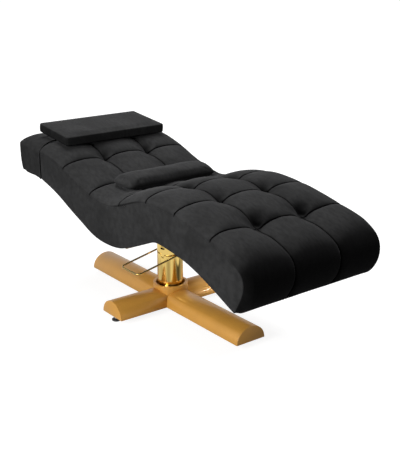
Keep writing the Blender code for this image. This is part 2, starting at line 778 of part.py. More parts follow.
def build_lumbar(lumbar):
    half_y = LUMBAR_WIDTH / 2
    rings = []
    for share in np.linspace(-1.0, 1.0, LUMBAR_RINGS):
        y = half_y * math.sin(share * math.pi / 2)
        inward = min(1.0, (half_y - abs(y)) / LUMBAR_END + LUMBAR_TIP_SHARE)
        end = math.sqrt(1 - (1 - inward) ** 2)
        half_x = LUMBAR_LENGTH / 2 * (LUMBAR_END_SHARE + (1 - LUMBAR_END_SHARE) * end)
        back = crest_at(LUMBAR_X - half_x) + LUMBAR_LIFT
        front = crest_at(LUMBAR_X + half_x) + LUMBAR_LIFT
        ring = []
        for step in range(LUMBAR_STEPS + 1):
            turn = math.pi * step / LUMBAR_STEPS
            x = half_x * math.cos(turn)
            edge = back + (front - back) * (x + half_x) / (2 * half_x)
            rise = LUMBAR_HEIGHT * (LUMBAR_TIP_SHARE + (1 - LUMBAR_TIP_SHARE) * end)
            ring.append((LUMBAR_X + x, y, edge + LUMBAR_EDGE + rise * math.sin(turn)))
        for share_x in np.linspace(-1.0, 1.0, LUMBAR_STEPS // 2 + 1):
            x = LUMBAR_X + half_x * share_x * LUMBAR_FOOT_SHARE
            ring.append((x, y, crest_at(x) + LUMBAR_LIFT))
        rings.append(ring)
    finish(loft(rings), "lumbar_pillow", velvet(), lumbar)


def arch(half_width, height, low=0.0):
    """Half-round outline in (across, up), closed along its foot."""
    points = []
    for step in range(ARCH_STEPS + 1):
        angle = math.pi * step / ARCH_STEPS
        points.append((half_width * math.cos(angle), height * math.sin(angle)))
    return points if low == 0.0 else points + [(-half_width, low), (half_width, low)]


def arch_shell(half_width, height, wall):
    return arch(half_width, height) + list(reversed(arch(half_width - wall, height - wall)))


def along(axis, middle, z):
    """Places a local XY outline across an axis, with its local Y up."""
    turn = Matrix.Rotation(math.radians(90), 4, "X")
    if axis == "X":
        turn = Matrix.Rotation(math.radians(90), 4, "Z") @ turn
    spot = (middle, 0.0, z) if axis == "X" else (0.0, middle, z)
    return Matrix.Translation(spot) @ turn


def build_base():
    grown = BEAM_HALF_WIDTH + CLEARANCE, BEAM_HEIGHT + CLEARANCE
    long_length = 2 * (LONG_REACH - END_PLATE - CLEARANCE)
    shell = arch_shell(BEAM_HALF_WIDTH, BEAM_HEIGHT, BEAM_WALL)
    beam = outline_solid(shell, long_length, along("X", 0.0, BEAM_Z))
    pump_hole = PUMP_RADIUS + 2 * CLEARANCE
    cut(beam, rod(pump_hole, BEAM_HEIGHT, (0.0, 0.0, BEAM_Z + BEAM_HEIGHT), steps=ROUND))
    finish(settle(beam), "base_long_beam", gold())
    for side, mark in ((-1, "near"), (1, "far")):
        length = SHORT_REACH - END_PLATE - CLEARANCE
        arm = outline_solid(shell, length, along("Y", side * length / 2, BEAM_Z))
        low = -CUT_OVERRUN
        block = outline_solid(arch(*grown, low), 4 * BEAM_HALF_WIDTH, along("X", 0.0, BEAM_Z))
        cut(arm, block)
        cut(arm, rod(pump_hole, BEAM_HEIGHT, (0.0, 0.0, BEAM_Z + BEAM_HEIGHT), steps=ROUND))
        finish(settle(arm), "base_arm_" + mark, gold())
    ends = (("foot", "X", 1), ("head", "X", -1), ("near", "Y", -1), ("far", "Y", 1))
    for mark, axis, side in ends:
        reach = (LONG_REACH if axis == "X" else SHORT_REACH) - END_PLATE / 2
        plate = outline_solid(
            arch(BEAM_HALF_WIDTH, BEAM_HEIGHT), END_PLATE, along(axis, side * reach, BEAM_Z)
        )
        finish(plate, "end_plate_" + mark, gold())
    hub = box(
        (HUB_PLATE_LENGTH, 2 * (BEAM_HALF_WIDTH - BEAM_WALL - 3 * CLEARANCE), HUB_PLATE_THICKNESS),
        (0.0, 0.0, BEAM_Z + HUB_PLATE_THICKNESS / 2),
    )
    for x, y in bolt_places():
        cut(hub, rod(BOLT_RADIUS + CLEARANCE, HUB_PLATE_THICKNESS + CUT_OVERRUN, (x, y, BEAM_Z)))
    finish(settle(hub), "hub_plate", gold())
    collar = turned(
        [
            (COLLAR_RADIUS, COLLAR_TOP), (COLLAR_RADIUS, COLLAR_LOW),
            (COLLAR_BORE, COLLAR_LOW), (COLLAR_BORE, COLLAR_TOP),
        ],
        steps=BIG_ROUND,
    )
    for axis in ("X", "Y"):
        cut(collar, outline_solid(arch(*grown, -BEAM_Z), 4 * COLLAR_RADIUS, along(axis, 0.0, BEAM_Z)))
    finish(settle(collar), "hub_collar", gold())
    key_out = math.sqrt(COLLAR_BORE**2 - (KEY_WIDTH / 2) ** 2) - 2 * CLEARANCE
    key_in = PUMP_RADIUS + CLEARANCE
    key_middle = (key_out + key_in) / 2
    key = box(
        (key_out - key_in, KEY_WIDTH, KEY_HEIGHT),
        (
            key_middle * math.cos(KEY_ANGLE),
            key_middle * math.sin(KEY_ANGLE),
            COLLAR_TOP + KEY_RISE - KEY_HEIGHT / 2,
        ),
        KEY_ANGLE,
    )
    finish(key, "column_key", brass())


def bolt_places():
    return [
        (FLANGE_BOLT_CIRCLE * math.cos(turn), FLANGE_BOLT_CIRCLE * math.sin(turn))
        for turn in FLANGE_BOLT_TURNS
    ]


def build_feet():
    places = (
        ("foot", Vector((1.0, 0.0, 0.0)), LONG_REACH, LONG_FOOT_INSET),
        ("head", Vector((-1.0, 0.0, 0.0)), LONG_REACH, LONG_FOOT_INSET),
        ("near", Vector((0.0, -1.0, 0.0)), SHORT_REACH, FOOT_INSET),
        ("far", Vector((0.0, 1.0, 0.0)), SHORT_REACH, FOOT_INSET),
    )
    plate_low = BEAM_Z + 3 * CLEARANCE
    rise = (plate_low + FOOT_PLATE_THICKNESS - BEAM_Z) / (BEAM_HEIGHT - BEAM_WALL)
    width = 2 * ((BEAM_HALF_WIDTH - BEAM_WALL) * math.sqrt(1 - rise**2) - 2 * CLEARANCE)
    for mark, out, reach, inset in places:
        inner_face = reach - END_PLATE - CLEARANCE
        x, y, _ = out * (inner_face - inset)
        middle = out * (inner_face - max(inset, FOOT_PLATE_LENGTH / 2))
        middle.z = plate_low + FOOT_PLATE_THICKNESS / 2
        size = (FOOT_PLATE_LENGTH, width, FOOT_PLATE_THICKNESS)
        if out.x == 0.0:
            size = (width, FOOT_PLATE_LENGTH, FOOT_PLATE_THICKNESS)
        plate = box(size, middle)
        cut(plate, rod(STUD_RADIUS + CLEARANCE, FOOT_PLATE_THICKNESS + CUT_OVERRUN, (x, y, plate_low)))
        finish(settle(plate), "foot_plate_" + mark, gold())
        pivot = empty_at("levelling_axis_" + mark, (x, y, 0.0))
        socket = PAD_HEIGHT - STUD_SOCKET
        pad = turned(
            [
                (0.0, socket), (STUD_RADIUS + CLEARANCE, socket), (STUD_RADIUS + CLEARANCE, PAD_HEIGHT),
                (PAD_RADIUS - 3 * PAD_LIP, PAD_HEIGHT), (PAD_RADIUS, PAD_HEIGHT - PAD_LIP),
                (PAD_RADIUS, PAD_LIP / 2), (PAD_RADIUS - PAD_LIP / 2, 0.0), (0.0, 0.0),
            ],
            (x, y, 0.0),
            steps=PAD_STEPS,
        )
        finish(pad, "levelling_pad_" + mark, plastic(), pivot)
        hex_low = PAD_HEIGHT + CLEARANCE
        stud = rod(STUD_RADIUS, STUD_TOP - socket - CLEARANCE, (x, y, (STUD_TOP + socket + CLEARANCE) / 2))
        join(stud, rod(HEX_RADIUS, HEX_HEIGHT, (x, y, hex_low + HEX_HEIGHT / 2), steps=6))
        finish(settle(stud), "levelling_stud_" + mark, steel(), pivot)


def build_pump():
    flange_low = BEAM_Z + HUB_PLATE_THICKNESS + CLEARANCE
    flange_top = flange_low + FLANGE_THICKNESS
    bore = PISTON_RADIUS + CLEARANCE
    body = turned(
        [
            (0.0, PUMP_FLOOR), (bore, PUMP_FLOOR), (bore, PUMP_TOP), (PUMP_RADIUS, PUMP_TOP),
            (PUMP_RADIUS, flange_top), (FLANGE_RADIUS, flange_top), (FLANGE_RADIUS, flange_low),
            (0.0, flange_low),
        ]
    )
    for x, y in bolt_places():
        cut(body, rod(BOLT_RADIUS + CLEARANCE, FLANGE_THICKNESS + CUT_OVERRUN, (x, y, flange_low)))
    finish(settle(body), "pump_body", steel())
    head_low = flange_top + CLEARANCE
    for number, (x, y) in enumerate(bolt_places(), 1):
        bolt = turned(
            [
                (0.0, head_low + BOLT_HEAD_HEIGHT), (BOLT_HEAD_RADIUS, head_low + BOLT_HEAD_HEIGHT),
                (BOLT_HEAD_RADIUS, head_low), (BOLT_RADIUS, head_low), (BOLT_RADIUS, BEAM_Z), (0.0, BEAM_Z),
            ],
            (x, y, 0.0),
            steps=SMALL_ROUND,
        )
        finish(bolt, "pump_bolt_" + str(number), steel())
    inner = COVER_RADIUS - COVER_WALL
    cover = turned(
        [
            (COVER_RADIUS, COVER_TOP), (COVER_RADIUS, COVER_LOW), (inner, COVER_LOW), (inner, COVER_TOP),
        ],
        steps=BIG_ROUND,
    )
    reach = COVER_RADIUS + CUT_OVERRUN
    cut(cover, rod(PIN_HEAD_RADIUS, 2 * reach, (0.0, 0.0, PEDAL_Z), (1.0, 0.0, 0.0)))
    slot = box(
        (COVER_WALL + CUT_OVERRUN, SLOT_WIDTH, SLOT_HEIGHT),
        (COVER_RADIUS * math.cos(SLOT_ANGLE), COVER_RADIUS * math.sin(SLOT_ANGLE), SLOT_Z),
        SLOT_ANGLE,
    )
    cut(cover, slot)
    finish(settle(cover), "pump_cover", brass())
    step_z = COVER_TOP + CLEARANCE
    head = turned(
        [
            (HEAD_FLANGE_RADIUS, HEAD_TOP), (HEAD_FLANGE_RADIUS, step_z),
            (inner - CLEARANCE, step_z), (inner - CLEARANCE, PUMP_TOP + CLEARANCE),
            (bore, PUMP_TOP + CLEARANCE), (bore, HEAD_TOP),
        ],
        steps=BIG_ROUND,
    )
    finish(head, "pump_head", brass())
    eye_in = PEDAL_X - EYE_WIDTH / 2
    eye_out = PEDAL_X + EYE_WIDTH / 2
    foot = PUMP_RADIUS + CLEARANCE
    for side, mark in ((-1, "head"), (1, "foot")):
        pin = turned(
            [
                (0.0, eye_out + CLEARANCE + PIN_HEAD), (PIN_HEAD_RADIUS, eye_out + CLEARANCE + PIN_HEAD),
                (PIN_HEAD_RADIUS, eye_out + CLEARANCE), (PIN_RADIUS, eye_out + CLEARANCE),
                (PIN_RADIUS, eye_in - CLEARANCE), (PIN_SHOULDER, eye_in - CLEARANCE),
                (PIN_SHOULDER, foot), (0.0, foot),
            ],
            (0.0, 0.0, PEDAL_Z),
            (float(side), 0.0, 0.0),
            steps=SMALL_ROUND,
        )
        finish(pin, "pedal_pin_" + mark, steel())


def build_pedal(pivot):
    reach = PEDAL_REACH
    corner = PEDAL_CORNER
    start = EYE_RADIUS - PEDAL_ROD / 2
    path = [(PEDAL_X, start), (PEDAL_X, reach / 2)]
    for step in range(PEDAL_CORNER_STEPS + 1):
        turn = math.radians(90) * step / PEDAL_CORNER_STEPS
        across = PEDAL_X - corner * (1 - math.cos(turn))
        path.append((across, reach - corner + corner * math.sin(turn)))
    path += [(-across, out) for across, out in reversed(path)]
    data = bpy.data.curves.new("wire", "CURVE")
    data.dimensions = "3D"
    data.bevel_depth = PEDAL_ROD
    data.bevel_resolution = 2
    data.use_fill_caps = True
    line = data.splines.new("POLY")
    line.points.add(len(path) - 1)
    droop = Vector((0.0, -math.cos(PEDAL_DROOP), -math.sin(PEDAL_DROOP)))
    for point, (across, out) in zip(line.points, path):
        point.co = (across, droop.y * out, PEDAL_Z + droop.z * out, 1.0)
    wire = bpy.data.objects.new("wire", data)
    PARTS.objects.link(wire)
    wire = curve_to_mesh(wire)
    for side in (-1, 1):
        eye = rod(EYE_RADIUS, EYE_WIDTH, (side * PEDAL_X, 0.0, PEDAL_Z), (1.0, 0.0, 0.0), steps=EYE_STEPS)
        join(wire, eye)
    hole = rod(PIN_RADIUS + CLEARANCE, 2 * (PEDAL_X + EYE_WIDTH), (0.0, 0.0, PEDAL_Z), (1.0, 0.0, 0.0))
    cut(wire, hole)
    finish(settle(wire), "foot_pedal", brass(), pivot)


def build_piston(lift, swivel):
    piston = turned(
        [(0.0, PISTON_TOP), (PISTON_RADIUS, PISTON_TOP), (PISTON_RADIUS, PISTON_LOW), (0.0, PISTON_LOW)]
    )
    finish(piston, "piston", steel(), lift)
    plate_top = MOUNT_BOARD_Z - CLEARANCE
    plate_low = plate_top - PLATE_THICKNESS
    plate = box((PLATE_SIDE, PLATE_SIDE, PLATE_THICKNESS), (0.0, 0.0, (plate_top + plate_low) / 2))
    boss_top = (plate_top + plate_low) / 2
    join(plate, rod(BOSS_RADIUS, boss_top - BOSS_LOW, (0.0, 0.0, (boss_top + BOSS_LOW) / 2), steps=ROUND))
    bore_height = 2 * BORE_DEPTH
    cut(plate, rod(PISTON_RADIUS + CLEARANCE, bore_height, (0.0, 0.0, BOSS_LOW), steps=ROUND))
    spots = [(x, y) for x in (-PLATE_BOLT, PLATE_BOLT) for y in (-PLATE_BOLT, PLATE_BOLT)]
    for x, y in spots:
        cut(plate, rod(BOLT_RADIUS + CLEARANCE, PLATE_THICKNESS + CUT_OVERRUN, (x, y, plate_low)))
    finish(settle(plate), "swivel_plate", steel(), swivel)
    head_top = plate_low - CLEARANCE
    for number, (x, y) in enumerate(spots, 1):
        shank_top = head_top + PLATE_BOLT_LENGTH
        bolt = rod(BOLT_RADIUS, PLATE_BOLT_LENGTH, (x, y, (shank_top + head_top) / 2 - PLATE_BOLT_ROOT))
        head_mid = head_top - PLATE_BOLT_HEAD_HEIGHT / 2
        join(bolt, rod(PLATE_BOLT_HEAD, PLATE_BOLT_HEAD_HEIGHT, (x, y, head_mid), steps=6))
        finish(settle(bolt), "plate_bolt_" + str(number), steel(), swivel)


def stand_over_middle():
    """Moves the whole bed so that the middle of its length is over the origin."""
    for item in list(PARTS.objects) + list(CUTTERS.objects):
        if item.parent is None:
            item.location.x += COLUMN_X
    bpy.context.view_layer.update()


def main():
    lift = empty_at("lift_axis", (0.0, 0.0, 0.0))
    swivel = empty_at("swivel_axis", (0.0, 0.0, BOSS_LOW))
    swivel.parent = lift
    pedal = empty_at("pedal_axis", (0.0, 0.0, PEDAL_Z))
    headrest = empty_at("headrest_slide", (HOOD_HEM_X, 0.0, HEAD_PILLOW_Z))
    headrest.parent = swivel
    headrest.matrix_parent_inverse = swivel.matrix_world.inverted()
    lumbar = empty_at("lumbar_slide", (LUMBAR_X, 0.0, MOUNT_BOARD_Z))
    lumbar.parent = swivel
    lumbar.matrix_parent_inverse = swivel.matrix_world.inverted()
    bpy.context.view_layer.update()
    build_base()
    build_feet()
    build_pump()
    build_pedal(pedal)
    build_piston(lift, swivel)
    build_bed_frame(swivel)
    build_headrest(headrest)
    build_lumbar(lumbar)
    stand_over_middle()


main()
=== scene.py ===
"""Looks of the wave-shaped lash bed: tufted velvet, thread, gold paint and polished brass."""

import json
import math
from functools import wraps

import bmesh
import bpy
import numpy as np
from bpy.props import FloatProperty, FloatVectorProperty, IntProperty, PointerProperty
from bpy.types import Operator, Panel, PropertyGroup
from mathutils import Matrix, Vector
from mathutils.geometry import delaunay_2d_cdt

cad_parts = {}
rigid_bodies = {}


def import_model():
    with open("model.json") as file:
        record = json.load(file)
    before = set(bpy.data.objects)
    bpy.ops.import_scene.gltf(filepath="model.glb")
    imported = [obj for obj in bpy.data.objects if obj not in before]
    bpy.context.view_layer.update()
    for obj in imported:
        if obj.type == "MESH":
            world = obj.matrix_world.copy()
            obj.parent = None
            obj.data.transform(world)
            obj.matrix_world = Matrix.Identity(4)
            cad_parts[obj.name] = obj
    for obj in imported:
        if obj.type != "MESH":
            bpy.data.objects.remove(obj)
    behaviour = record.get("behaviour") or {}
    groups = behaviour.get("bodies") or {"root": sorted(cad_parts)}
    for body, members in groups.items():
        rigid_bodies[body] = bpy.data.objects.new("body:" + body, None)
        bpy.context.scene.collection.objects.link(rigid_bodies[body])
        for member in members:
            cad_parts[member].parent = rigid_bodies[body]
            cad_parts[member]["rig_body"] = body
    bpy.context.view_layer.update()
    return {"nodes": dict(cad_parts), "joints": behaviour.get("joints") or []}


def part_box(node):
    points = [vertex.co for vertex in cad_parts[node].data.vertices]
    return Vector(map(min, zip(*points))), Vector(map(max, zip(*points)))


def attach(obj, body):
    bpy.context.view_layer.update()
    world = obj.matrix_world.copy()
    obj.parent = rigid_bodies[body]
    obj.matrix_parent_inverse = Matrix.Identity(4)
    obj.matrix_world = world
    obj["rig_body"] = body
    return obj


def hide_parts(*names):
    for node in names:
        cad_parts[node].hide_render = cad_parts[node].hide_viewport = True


bl_info = {
    "name": "Lash Bed",
    "version": (1, 0, 0),
    "blender": (4, 5, 0),
    "location": "View3D > Sidebar > Lash Bed",
    "description": "Dresses the frame of a wave-shaped lash bed in velvet, gold paint and brass",
    "category": "Add Mesh",
}

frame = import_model()
MM = 0.001
JOINTS = {joint["name"]: joint for joint in frame["joints"]}
COLUMN_X = JOINTS["swivel"]["pos_m"][0]
PEDAL_Z = JOINTS["foot_pedal"]["pos_m"][2]

# The wave, in millimetres from the column's axis: upper and lower outline of the flank
SKIN_MM = (
    (-727, 548), (-744, 600), (-743, 638), (-721, 653), (-640, 654), (-555, 654), (-480, 651),
    (-410, 639), (-329, 615), (-220, 580), (-115, 552), (-10, 539), (60, 545), (118, 560),
    (198, 589), (269, 611), (337, 620), (430, 618), (517, 610), (620, 592), (718, 568),
    (800, 542), (858, 514), (888, 487), (896, 457), (890, 424), (873, 386), (853, 349),
)
UNDER_MM = (
    (-722, 542), (-706, 537), (-650, 535), (-578, 531), (-516, 519), (-443, 500), (-382, 480),
    (-296, 446), (-181, 404), (-123, 383), (-60, 369), (0, 365), (60, 367), (130, 379),
    (194, 402), (276, 435), (340, 462), (372, 471), (410, 471), (461, 466), (526, 457),
    (607, 438), (694, 408), (741, 389), (798, 364), (846, 344),
)
# Where the top passes under the hood's hem, and where its crosswise seams run
ROW_MM = (-570, -342, -115, 118, 313, 498, 711)
HALF_WIDTH = 335 * MM
SEAM_Y = 115 * MM
CREST = 42 * MM

# The top's dome: its shoulders over the flanks, its crown and how it ends at the nose
SHOULDER = 150 * MM
NOSE_SHOULDER = 22 * MM
HOOD_SHOULDER_CUT = 54 * MM
HEAD_CROWN = 12 * MM
CROWN_BLEND = 52 * MM
CROWN_FALL = 90 * MM
CROWN_AT_END = 0.1
NOSE_BLEND = 130 * MM
NOSE_DROP = 8 * MM
MIDDLE_REACH = 200 * MM
KNOT_CORE = 12 * MM
FOLD_SOFTNESS = 5 * MM
# Stretches over which the top's form changes, along it from the hem, a seam row or its end
HEM_STRETCH = (-4 * MM, 38 * MM)
PILLOW_STRETCH = (-80 * MM, -25 * MM)
HOOD_STRETCH = (30 * MM, 190 * MM)
SEAM_STRETCH = (-40 * MM, 0.0)
MARK_STRETCH = (-20 * MM, 0.0)
NOSE_STRETCH = (80 * MM, 200 * MM)
END_STRETCH = (2 * MM, 46 * MM)
NOSE_FADE = 0.3
# The knots of the last row are pulled harder, from this far past the row before
LAST_PULL = 0.5
LAST_PUFF = 60 * MM
# The rim under the top's edge: inset from the flank's plane, and drop from its outline
CUSHION_RIM = 6 * MM
RIM_MM = ((0.0, 5.2), (0.1, 5.65), (0.35, 5.92), (0.9, 6.0))
# Under the hood the top is drawn in at its sides and pressed, most of all by the pillow
TUCKED_IN = 0.0105
HOOD_PRESS = 0.6 * MM
PILLOW_PRESS = 5.4 * MM
# Mesh of the top: steps at a seam and inside a puff, and rows round the shoulder
FINE_STEPS = (1.1 * MM, 7.5 * MM)
FINE_SHOULDER_ROWS = 22
CLOTH_STEPS = (10 * MM, 11 * MM)
CLOTH_SHOULDER_ROWS = 9
AT_SEAM = 1 * MM
# What the seams do to the cloth: where it is free to lie unevenly, and painted shade in the creases
# round knots and seams
FREE_REACH = 40 * MM
FREE_BESIDE_SEAM = 30 * MM
KNOT_SHADE = (0.6, 13 * MM)
SEAM_SHADE = (0.75, 4 * MM)
CREASE_SINK = 0.75
SEAM_STOP = 22 * MM
STITCH_SEED = 3
# Painted shade: slopes over which it darkens the velvet, as the normal's part along x, and across or
# down, and how much it darkens the hollows and the bolster's front
TOP_SLOPE = (0.26, 0.76)
HOLLOW_SLOPE = (0.05, 0.36)
HOLLOW_SIDE = (-0.1, 0.2)
HOLLOW_SHADE = 0.85
BOLSTER_SLOPE = (0.25, 0.95)
BOLSTER_UNDERSIDE = (0.1, 0.7)
BOLSTER_FRONT_SHADE = 0.6
SEAM_LINES = {}

# The flanks: their outline, and how far they stand out
OUTLINE_STEP = 6 * MM
RIM_GAP = 0.3 * MM
FLANK_THICKNESS = 12.4 * MM
FLANK_ROUND = 0.7 * MM
FLANK_TUCK = 3.5 * MM
FLANK_RIPPLE = 0.5 * MM
FLANK_SWELL_REACH = 70 * MM
RIPPLE_STRETCH = (10 * MM, 50 * MM)
FLANK_FREE_STRETCH = (-8 * MM, 38 * MM)
FLANK_TUCK_STRETCH = (-16 * MM, 26 * MM)
FLANK_MESH = 10 * MM
FLANK_MARGIN = 17 * MM
FLANK_RINGS_MM = (0.3, 0.8, 1.6, 3.2, 6.5, 12.0)

# The hood: its hem, how far it stands off the bed, and its sections from face to hem
HOOD_HEM_X = -558 * MM
HOOD_OFF_TOP = 4.4 * MM
HOOD_OFF_SIDE = 3.2 * MM
HOOD_CORNER = 12 * MM
HOOD_ROUND_STEPS = 12
HOOD_LOWER = 1 * MM
HOOD_FACE_DROP = 1.5 * MM
HOOD_HEM_IN = 2 * MM
HOOD_FOLD = 0.9 * MM
FOLD_FROM_HEM = 20 * MM
FOLD_FADE = 60 * MM
FOLD_FROM_FACE = 40 * MM
# Its shoulder at the face and at the hem: width, drop, and the power of its curve
HOOD_WIDTH_MM = (104, 84)
HOOD_DROP_MM = (31, 64)
HOOD_POWER = (1.65, 2.05)
# Where its points lie up its side, and on its top from the shoulder to the middle
HOOD_SIDE_SHARES = (0.0, 0.03, 0.1, 0.25, 0.5, 0.75)
HOOD_TOP_SHARES = (0.94, 0.85, 0.72, 0.58, 0.43, 0.28, 0.14)
# Where its sections lie, as shares of the way from its face to its hem
HOOD_SHARES = (
    0.0, 0.003, 0.01, 0.022, 0.04, 0.065, 0.1, 0.14, 0.19, 0.25,
    0.32, 0.4, 0.48, 0.56, 0.64, 0.72, 0.8,
)
# Its face is raked towards the foot end near its lower edge: height, and rake there
RAKE_REACH = 90 * MM
FACE_RAKE_MM = ((540, 24), (548, 16), (575, 5), (605, 0))
# Roll of the hem: distance back from it, and height over the hood
HEM_ROLL_MM = (
    (22.0, 0.0), (18.0, -0.3), (16.0, -0.9), (14.5, -1.1), (13.0, -0.4), (11.0, 1.0),
    (8.0, 2.1), (5.0, 2.4), (2.5, 1.9), (0.8, 0.8), (0.0, -0.8), (0.0, -2.4),
)
# Faces this close to the hem's edge get painted shade
HEM_SHADE_FACE = 1.3 * MM

# The head pillow: half its sizes, its place, and its rounded and swollen edges
PILLOW_HALF = (134 * MM, 266 * MM, 22.5 * MM)
PILLOW_X = -549 * MM
PILLOW_Z = 731 * MM
PILLOW_TILT = math.radians(5.8)
PILLOW_SHRINK = 0.5 * MM
PILLOW_EDGE = 7 * MM
PILLOW_CORNER = 8 * MM
PILLOW_CROWN = 2.2 * MM
PILLOW_BULGE = 2.5 * MM
PILLOW_MESH = 8.5 * MM
# Its sewn band: share of the half sizes beyond which it runs, depth and half width
PILLOW_SIDE = 0.96
PILLOW_SEAM = 3 * MM
PILLOW_BAND = 2.2 * MM
# Height over its middle where its faces begin, and the stretch where its ends swell
PILLOW_FACE = 8 * MM
PILLOW_END = (-14 * MM, -4 * MM)
# How level a face has to be to keep the lit velvet, and past which it hangs under the pillow: faces
# between get painted shade, faces under it darker painted shade
PILLOW_LIT = 0.5
PILLOW_UNDER = -0.3

# The flap between hood and pillow
FLAP_WIDTH = 500 * MM
FLAP_LENGTH = 104 * MM
FLAP_WALL = 1.8 * MM
FLAP_RISE = 0.9 * MM
FLAP_SAG = 0.25 * MM
FLAP_MESH = (14, 60)

# The bolster: its ends lie on the top's crest, and its underside sinks between the puffs
LUMBAR_X = -13 * MM
LUMBAR_Y = -12 * MM
LUMBAR_HALF_LENGTH = 80 * MM
LUMBAR_HALF_WIDTH = 234 * MM
LUMBAR_TALL = 47 * MM
LUMBAR_WAIST = 17 * MM
LUMBAR_UNDERCUT = 12 * MM
LUMBAR_LIFT = 1.5 * MM
LUMBAR_SINK = 7 * MM
LUMBAR_CORNER = 36 * MM
LUMBAR_FALL = 84 * MM
LUMBAR_THIN_END = 0.22
LUMBAR_SHORT_END = 0.5
LUMBAR_BEDDED = 2 * MM
LUMBAR_DENT = 1.2 * MM
LUMBAR_RINGS = 66
LUMBAR_STEPS = 60

# The wire pedal, and the section of its eye as (radius, distance along the pin)
PEDAL_X = 67 * MM
PEDAL_START = 10 * MM
PEDAL_REACH = 224 * MM
PEDAL_BEND = 22 * MM
PEDAL_ROD = 4 * MM
PEDAL_DROOP = math.radians(11.5)
BEND_STEPS = 14
EYE_MM = ((5.3, -4.0), (11.4, -4.0), (12.0, -3.4), (12.0, 3.4), (11.4, 4.0), (5.3, 4.0))
EYE_STEPS = 36

ARMS = ("foot", "head", "near", "far")
MERGE = 0.01 * MM
WELD = 0.02 * MM
FLAT_ANGLE = math.radians(0.6)
SHARP_ANGLE = math.radians(40)
CLOTH_QUALITY = 6
CLOTH_MASS = 0.1
SHEAR_STIFFNESS = 5

WHITE = (1.0, 1.0, 1.0, 1.0)
CAMERA_PLACE = (2.860 + COLUMN_X, -2.037, 1.5307)
CAMERA_DOWN = math.radians(18.399)
CAMERA_TURN = math.radians(52.344)
# Lamps: name, place and size; the stage's settings hold their power
SOFT_LAMPS = (
    ("key", (0.75, -3.2, 1.4), (2.0, 1.6)),
    ("top", (-1.7, 0.5, 6.6), (3.2, 3.8)),
    ("far", (0.6, 3.6, 1.7), (1.8, 1.4)),
)
LAMP_TARGET = (0.0, 0.0, 0.4)
LOW_LAMP = (1.7, 1.25, 0.55)
LOW_TARGET = (COLUMN_X, 0.36, 0.06)
LOW_SPREAD = math.radians(17)
# The floor: half its width, where its glow rises to white, and where its painted reflection bands end
FLOOR_HALF = 30.0
GLOW_RISE = (0.9, 2.8)
BANDS_END = (0.6, 0.9)
# Painted reflection: directions round the column in degrees, and how bright the floor looks there in
# polished metal
REFLECTION_BANDS = (
    (-180, 0.6), (-157, 0.5), (-142, 0.7), (-117, 0.56), (-104, 0.6), (-86, 1.0), (-68, 0.68),
    (-55, 0.45), (-43, 0.48), (-25, 0.96), (-10, 0.68), (10, 0.44), (36, 0.06), (50, 0.2),
    (65, 0.42), (90, 0.45), (120, 0.95), (180, 0.6),
)


def smooth_curve(stations, step):
    """Points and outward normals of a smooth curve through the stations, evenly spaced."""
    knots = np.array(stations, float) * MM
    chord = np.concatenate([[0.0], np.cumsum(np.linalg.norm(np.diff(knots, axis=0), axis=1))])
    spans = np.diff(chord)
    size = len(knots)
    system = np.eye(size)
    right = np.zeros((size, 2))
    for k in range(1, size - 1):
        system[k, k - 1 : k + 2] = spans[k - 1], 2 * (spans[k - 1] + spans[k]), spans[k]
        rise = (knots[k + 1] - knots[k]) / spans[k] - (knots[k] - knots[k - 1]) / spans[k - 1]
        right[k] = 6 * rise
    bend = np.linalg.solve(system, right)
    places = np.linspace(0.0, chord[-1], int(round(chord[-1] / step)) + 1)
    cell = np.clip(np.searchsorted(chord, places, side="right") - 1, 0, size - 2)
    after = (places - chord[cell])[:, None]
    before = (chord[cell + 1] - places)[:, None]
    span = spans[cell][:, None]
    points = (
        bend[cell] * before**3 / (6 * span)
        + bend[cell + 1] * after**3 / (6 * span)
        + (knots[cell] / span - bend[cell] * span / 6) * before
        + (knots[cell + 1] / span - bend[cell + 1] * span / 6) * after
    )
    slope = np.gradient(points, axis=0)
    slope /= np.linalg.norm(slope, axis=1)[:, None]
    return points, np.stack([-slope[:, 1], slope[:, 0]], axis=1)


class Outline:
    """A curve of the wave in (x, z), read at lengths from the head end."""

    def __init__(self, stations):
        self.points, self.normals = smooth_curve(stations, 2 * MM)
        gaps = np.linalg.norm(np.diff(self.points, axis=0), axis=1)
        self.lengths = np.concatenate([[0.0], np.cumsum(gaps)])
        self.end = float(self.lengths[-1])

    def at(self, lengths):
        """Points and outward normals at these lengths."""
        point = np.stack([np.interp(lengths, self.lengths, self.points[:, k]) for k in (0, 1)], -1)
        normal = np.stack(
            [np.interp(lengths, self.lengths, self.normals[:, k]) for k in (0, 1)], -1
        )
        return point, normal / np.linalg.norm(normal, axis=-1, keepdims=True)


SKIN = Outline(SKIN_MM)
UNDER = Outline(UNDER_MM)
TOP_START = int(np.argmax(SKIN.points[:, 1] > SKIN_MM[2][1] * MM))
NOSE_TIP = int(np.argmax(SKIN.points[:, 0]))


def length_at(x):
    """Length along the top of the wave where it passes over x."""
    part = slice(TOP_START, NOSE_TIP)
    return float(np.interp(x, SKIN.points[part, 0], SKIN.lengths[part]))


ROWS = [length_at(x * MM) for x in ROW_MM]
HEAD_LENGTH = float(SKIN.lengths[TOP_START])


def smooth_share(value, low, high):
    """Smooth step of the value between low and high, from 0 to 1."""
    share = np.clip((np.asarray(value, float) - low) / (high - low), 0.0, 1.0)
    return share * share * (3 - 2 * share)


def past(value, start, stretch):
    """Smooth step over a stretch that is measured from start."""
    return smooth_share(value, start + stretch[0], start + stretch[1])


def blend(pair, share):
    """The value between the two of a pair."""
    return pair[0] + (pair[1] - pair[0]) * share


def quarter_round(share):
    """Height of a quarter circle, from 0 at its edge to 1 at its crest."""
    return np.sqrt(1 - (1 - share) ** 2)


def crest_height(x):
    """Height over the floor of the tufted top's crest at x, measured from the column."""
    crest = SKIN.points + SKIN.normals * CREST
    part = slice(TOP_START, NOSE_TIP)
    return np.interp(x, crest[part, 0], crest[part, 1])


def nose_share(length):
    """How far the domed top has turned into the boxy nose, from 0 to 1."""
    return smooth_share(length, ROWS[-1] - NOSE_BLEND, ROWS[-1] + NOSE_BLEND)


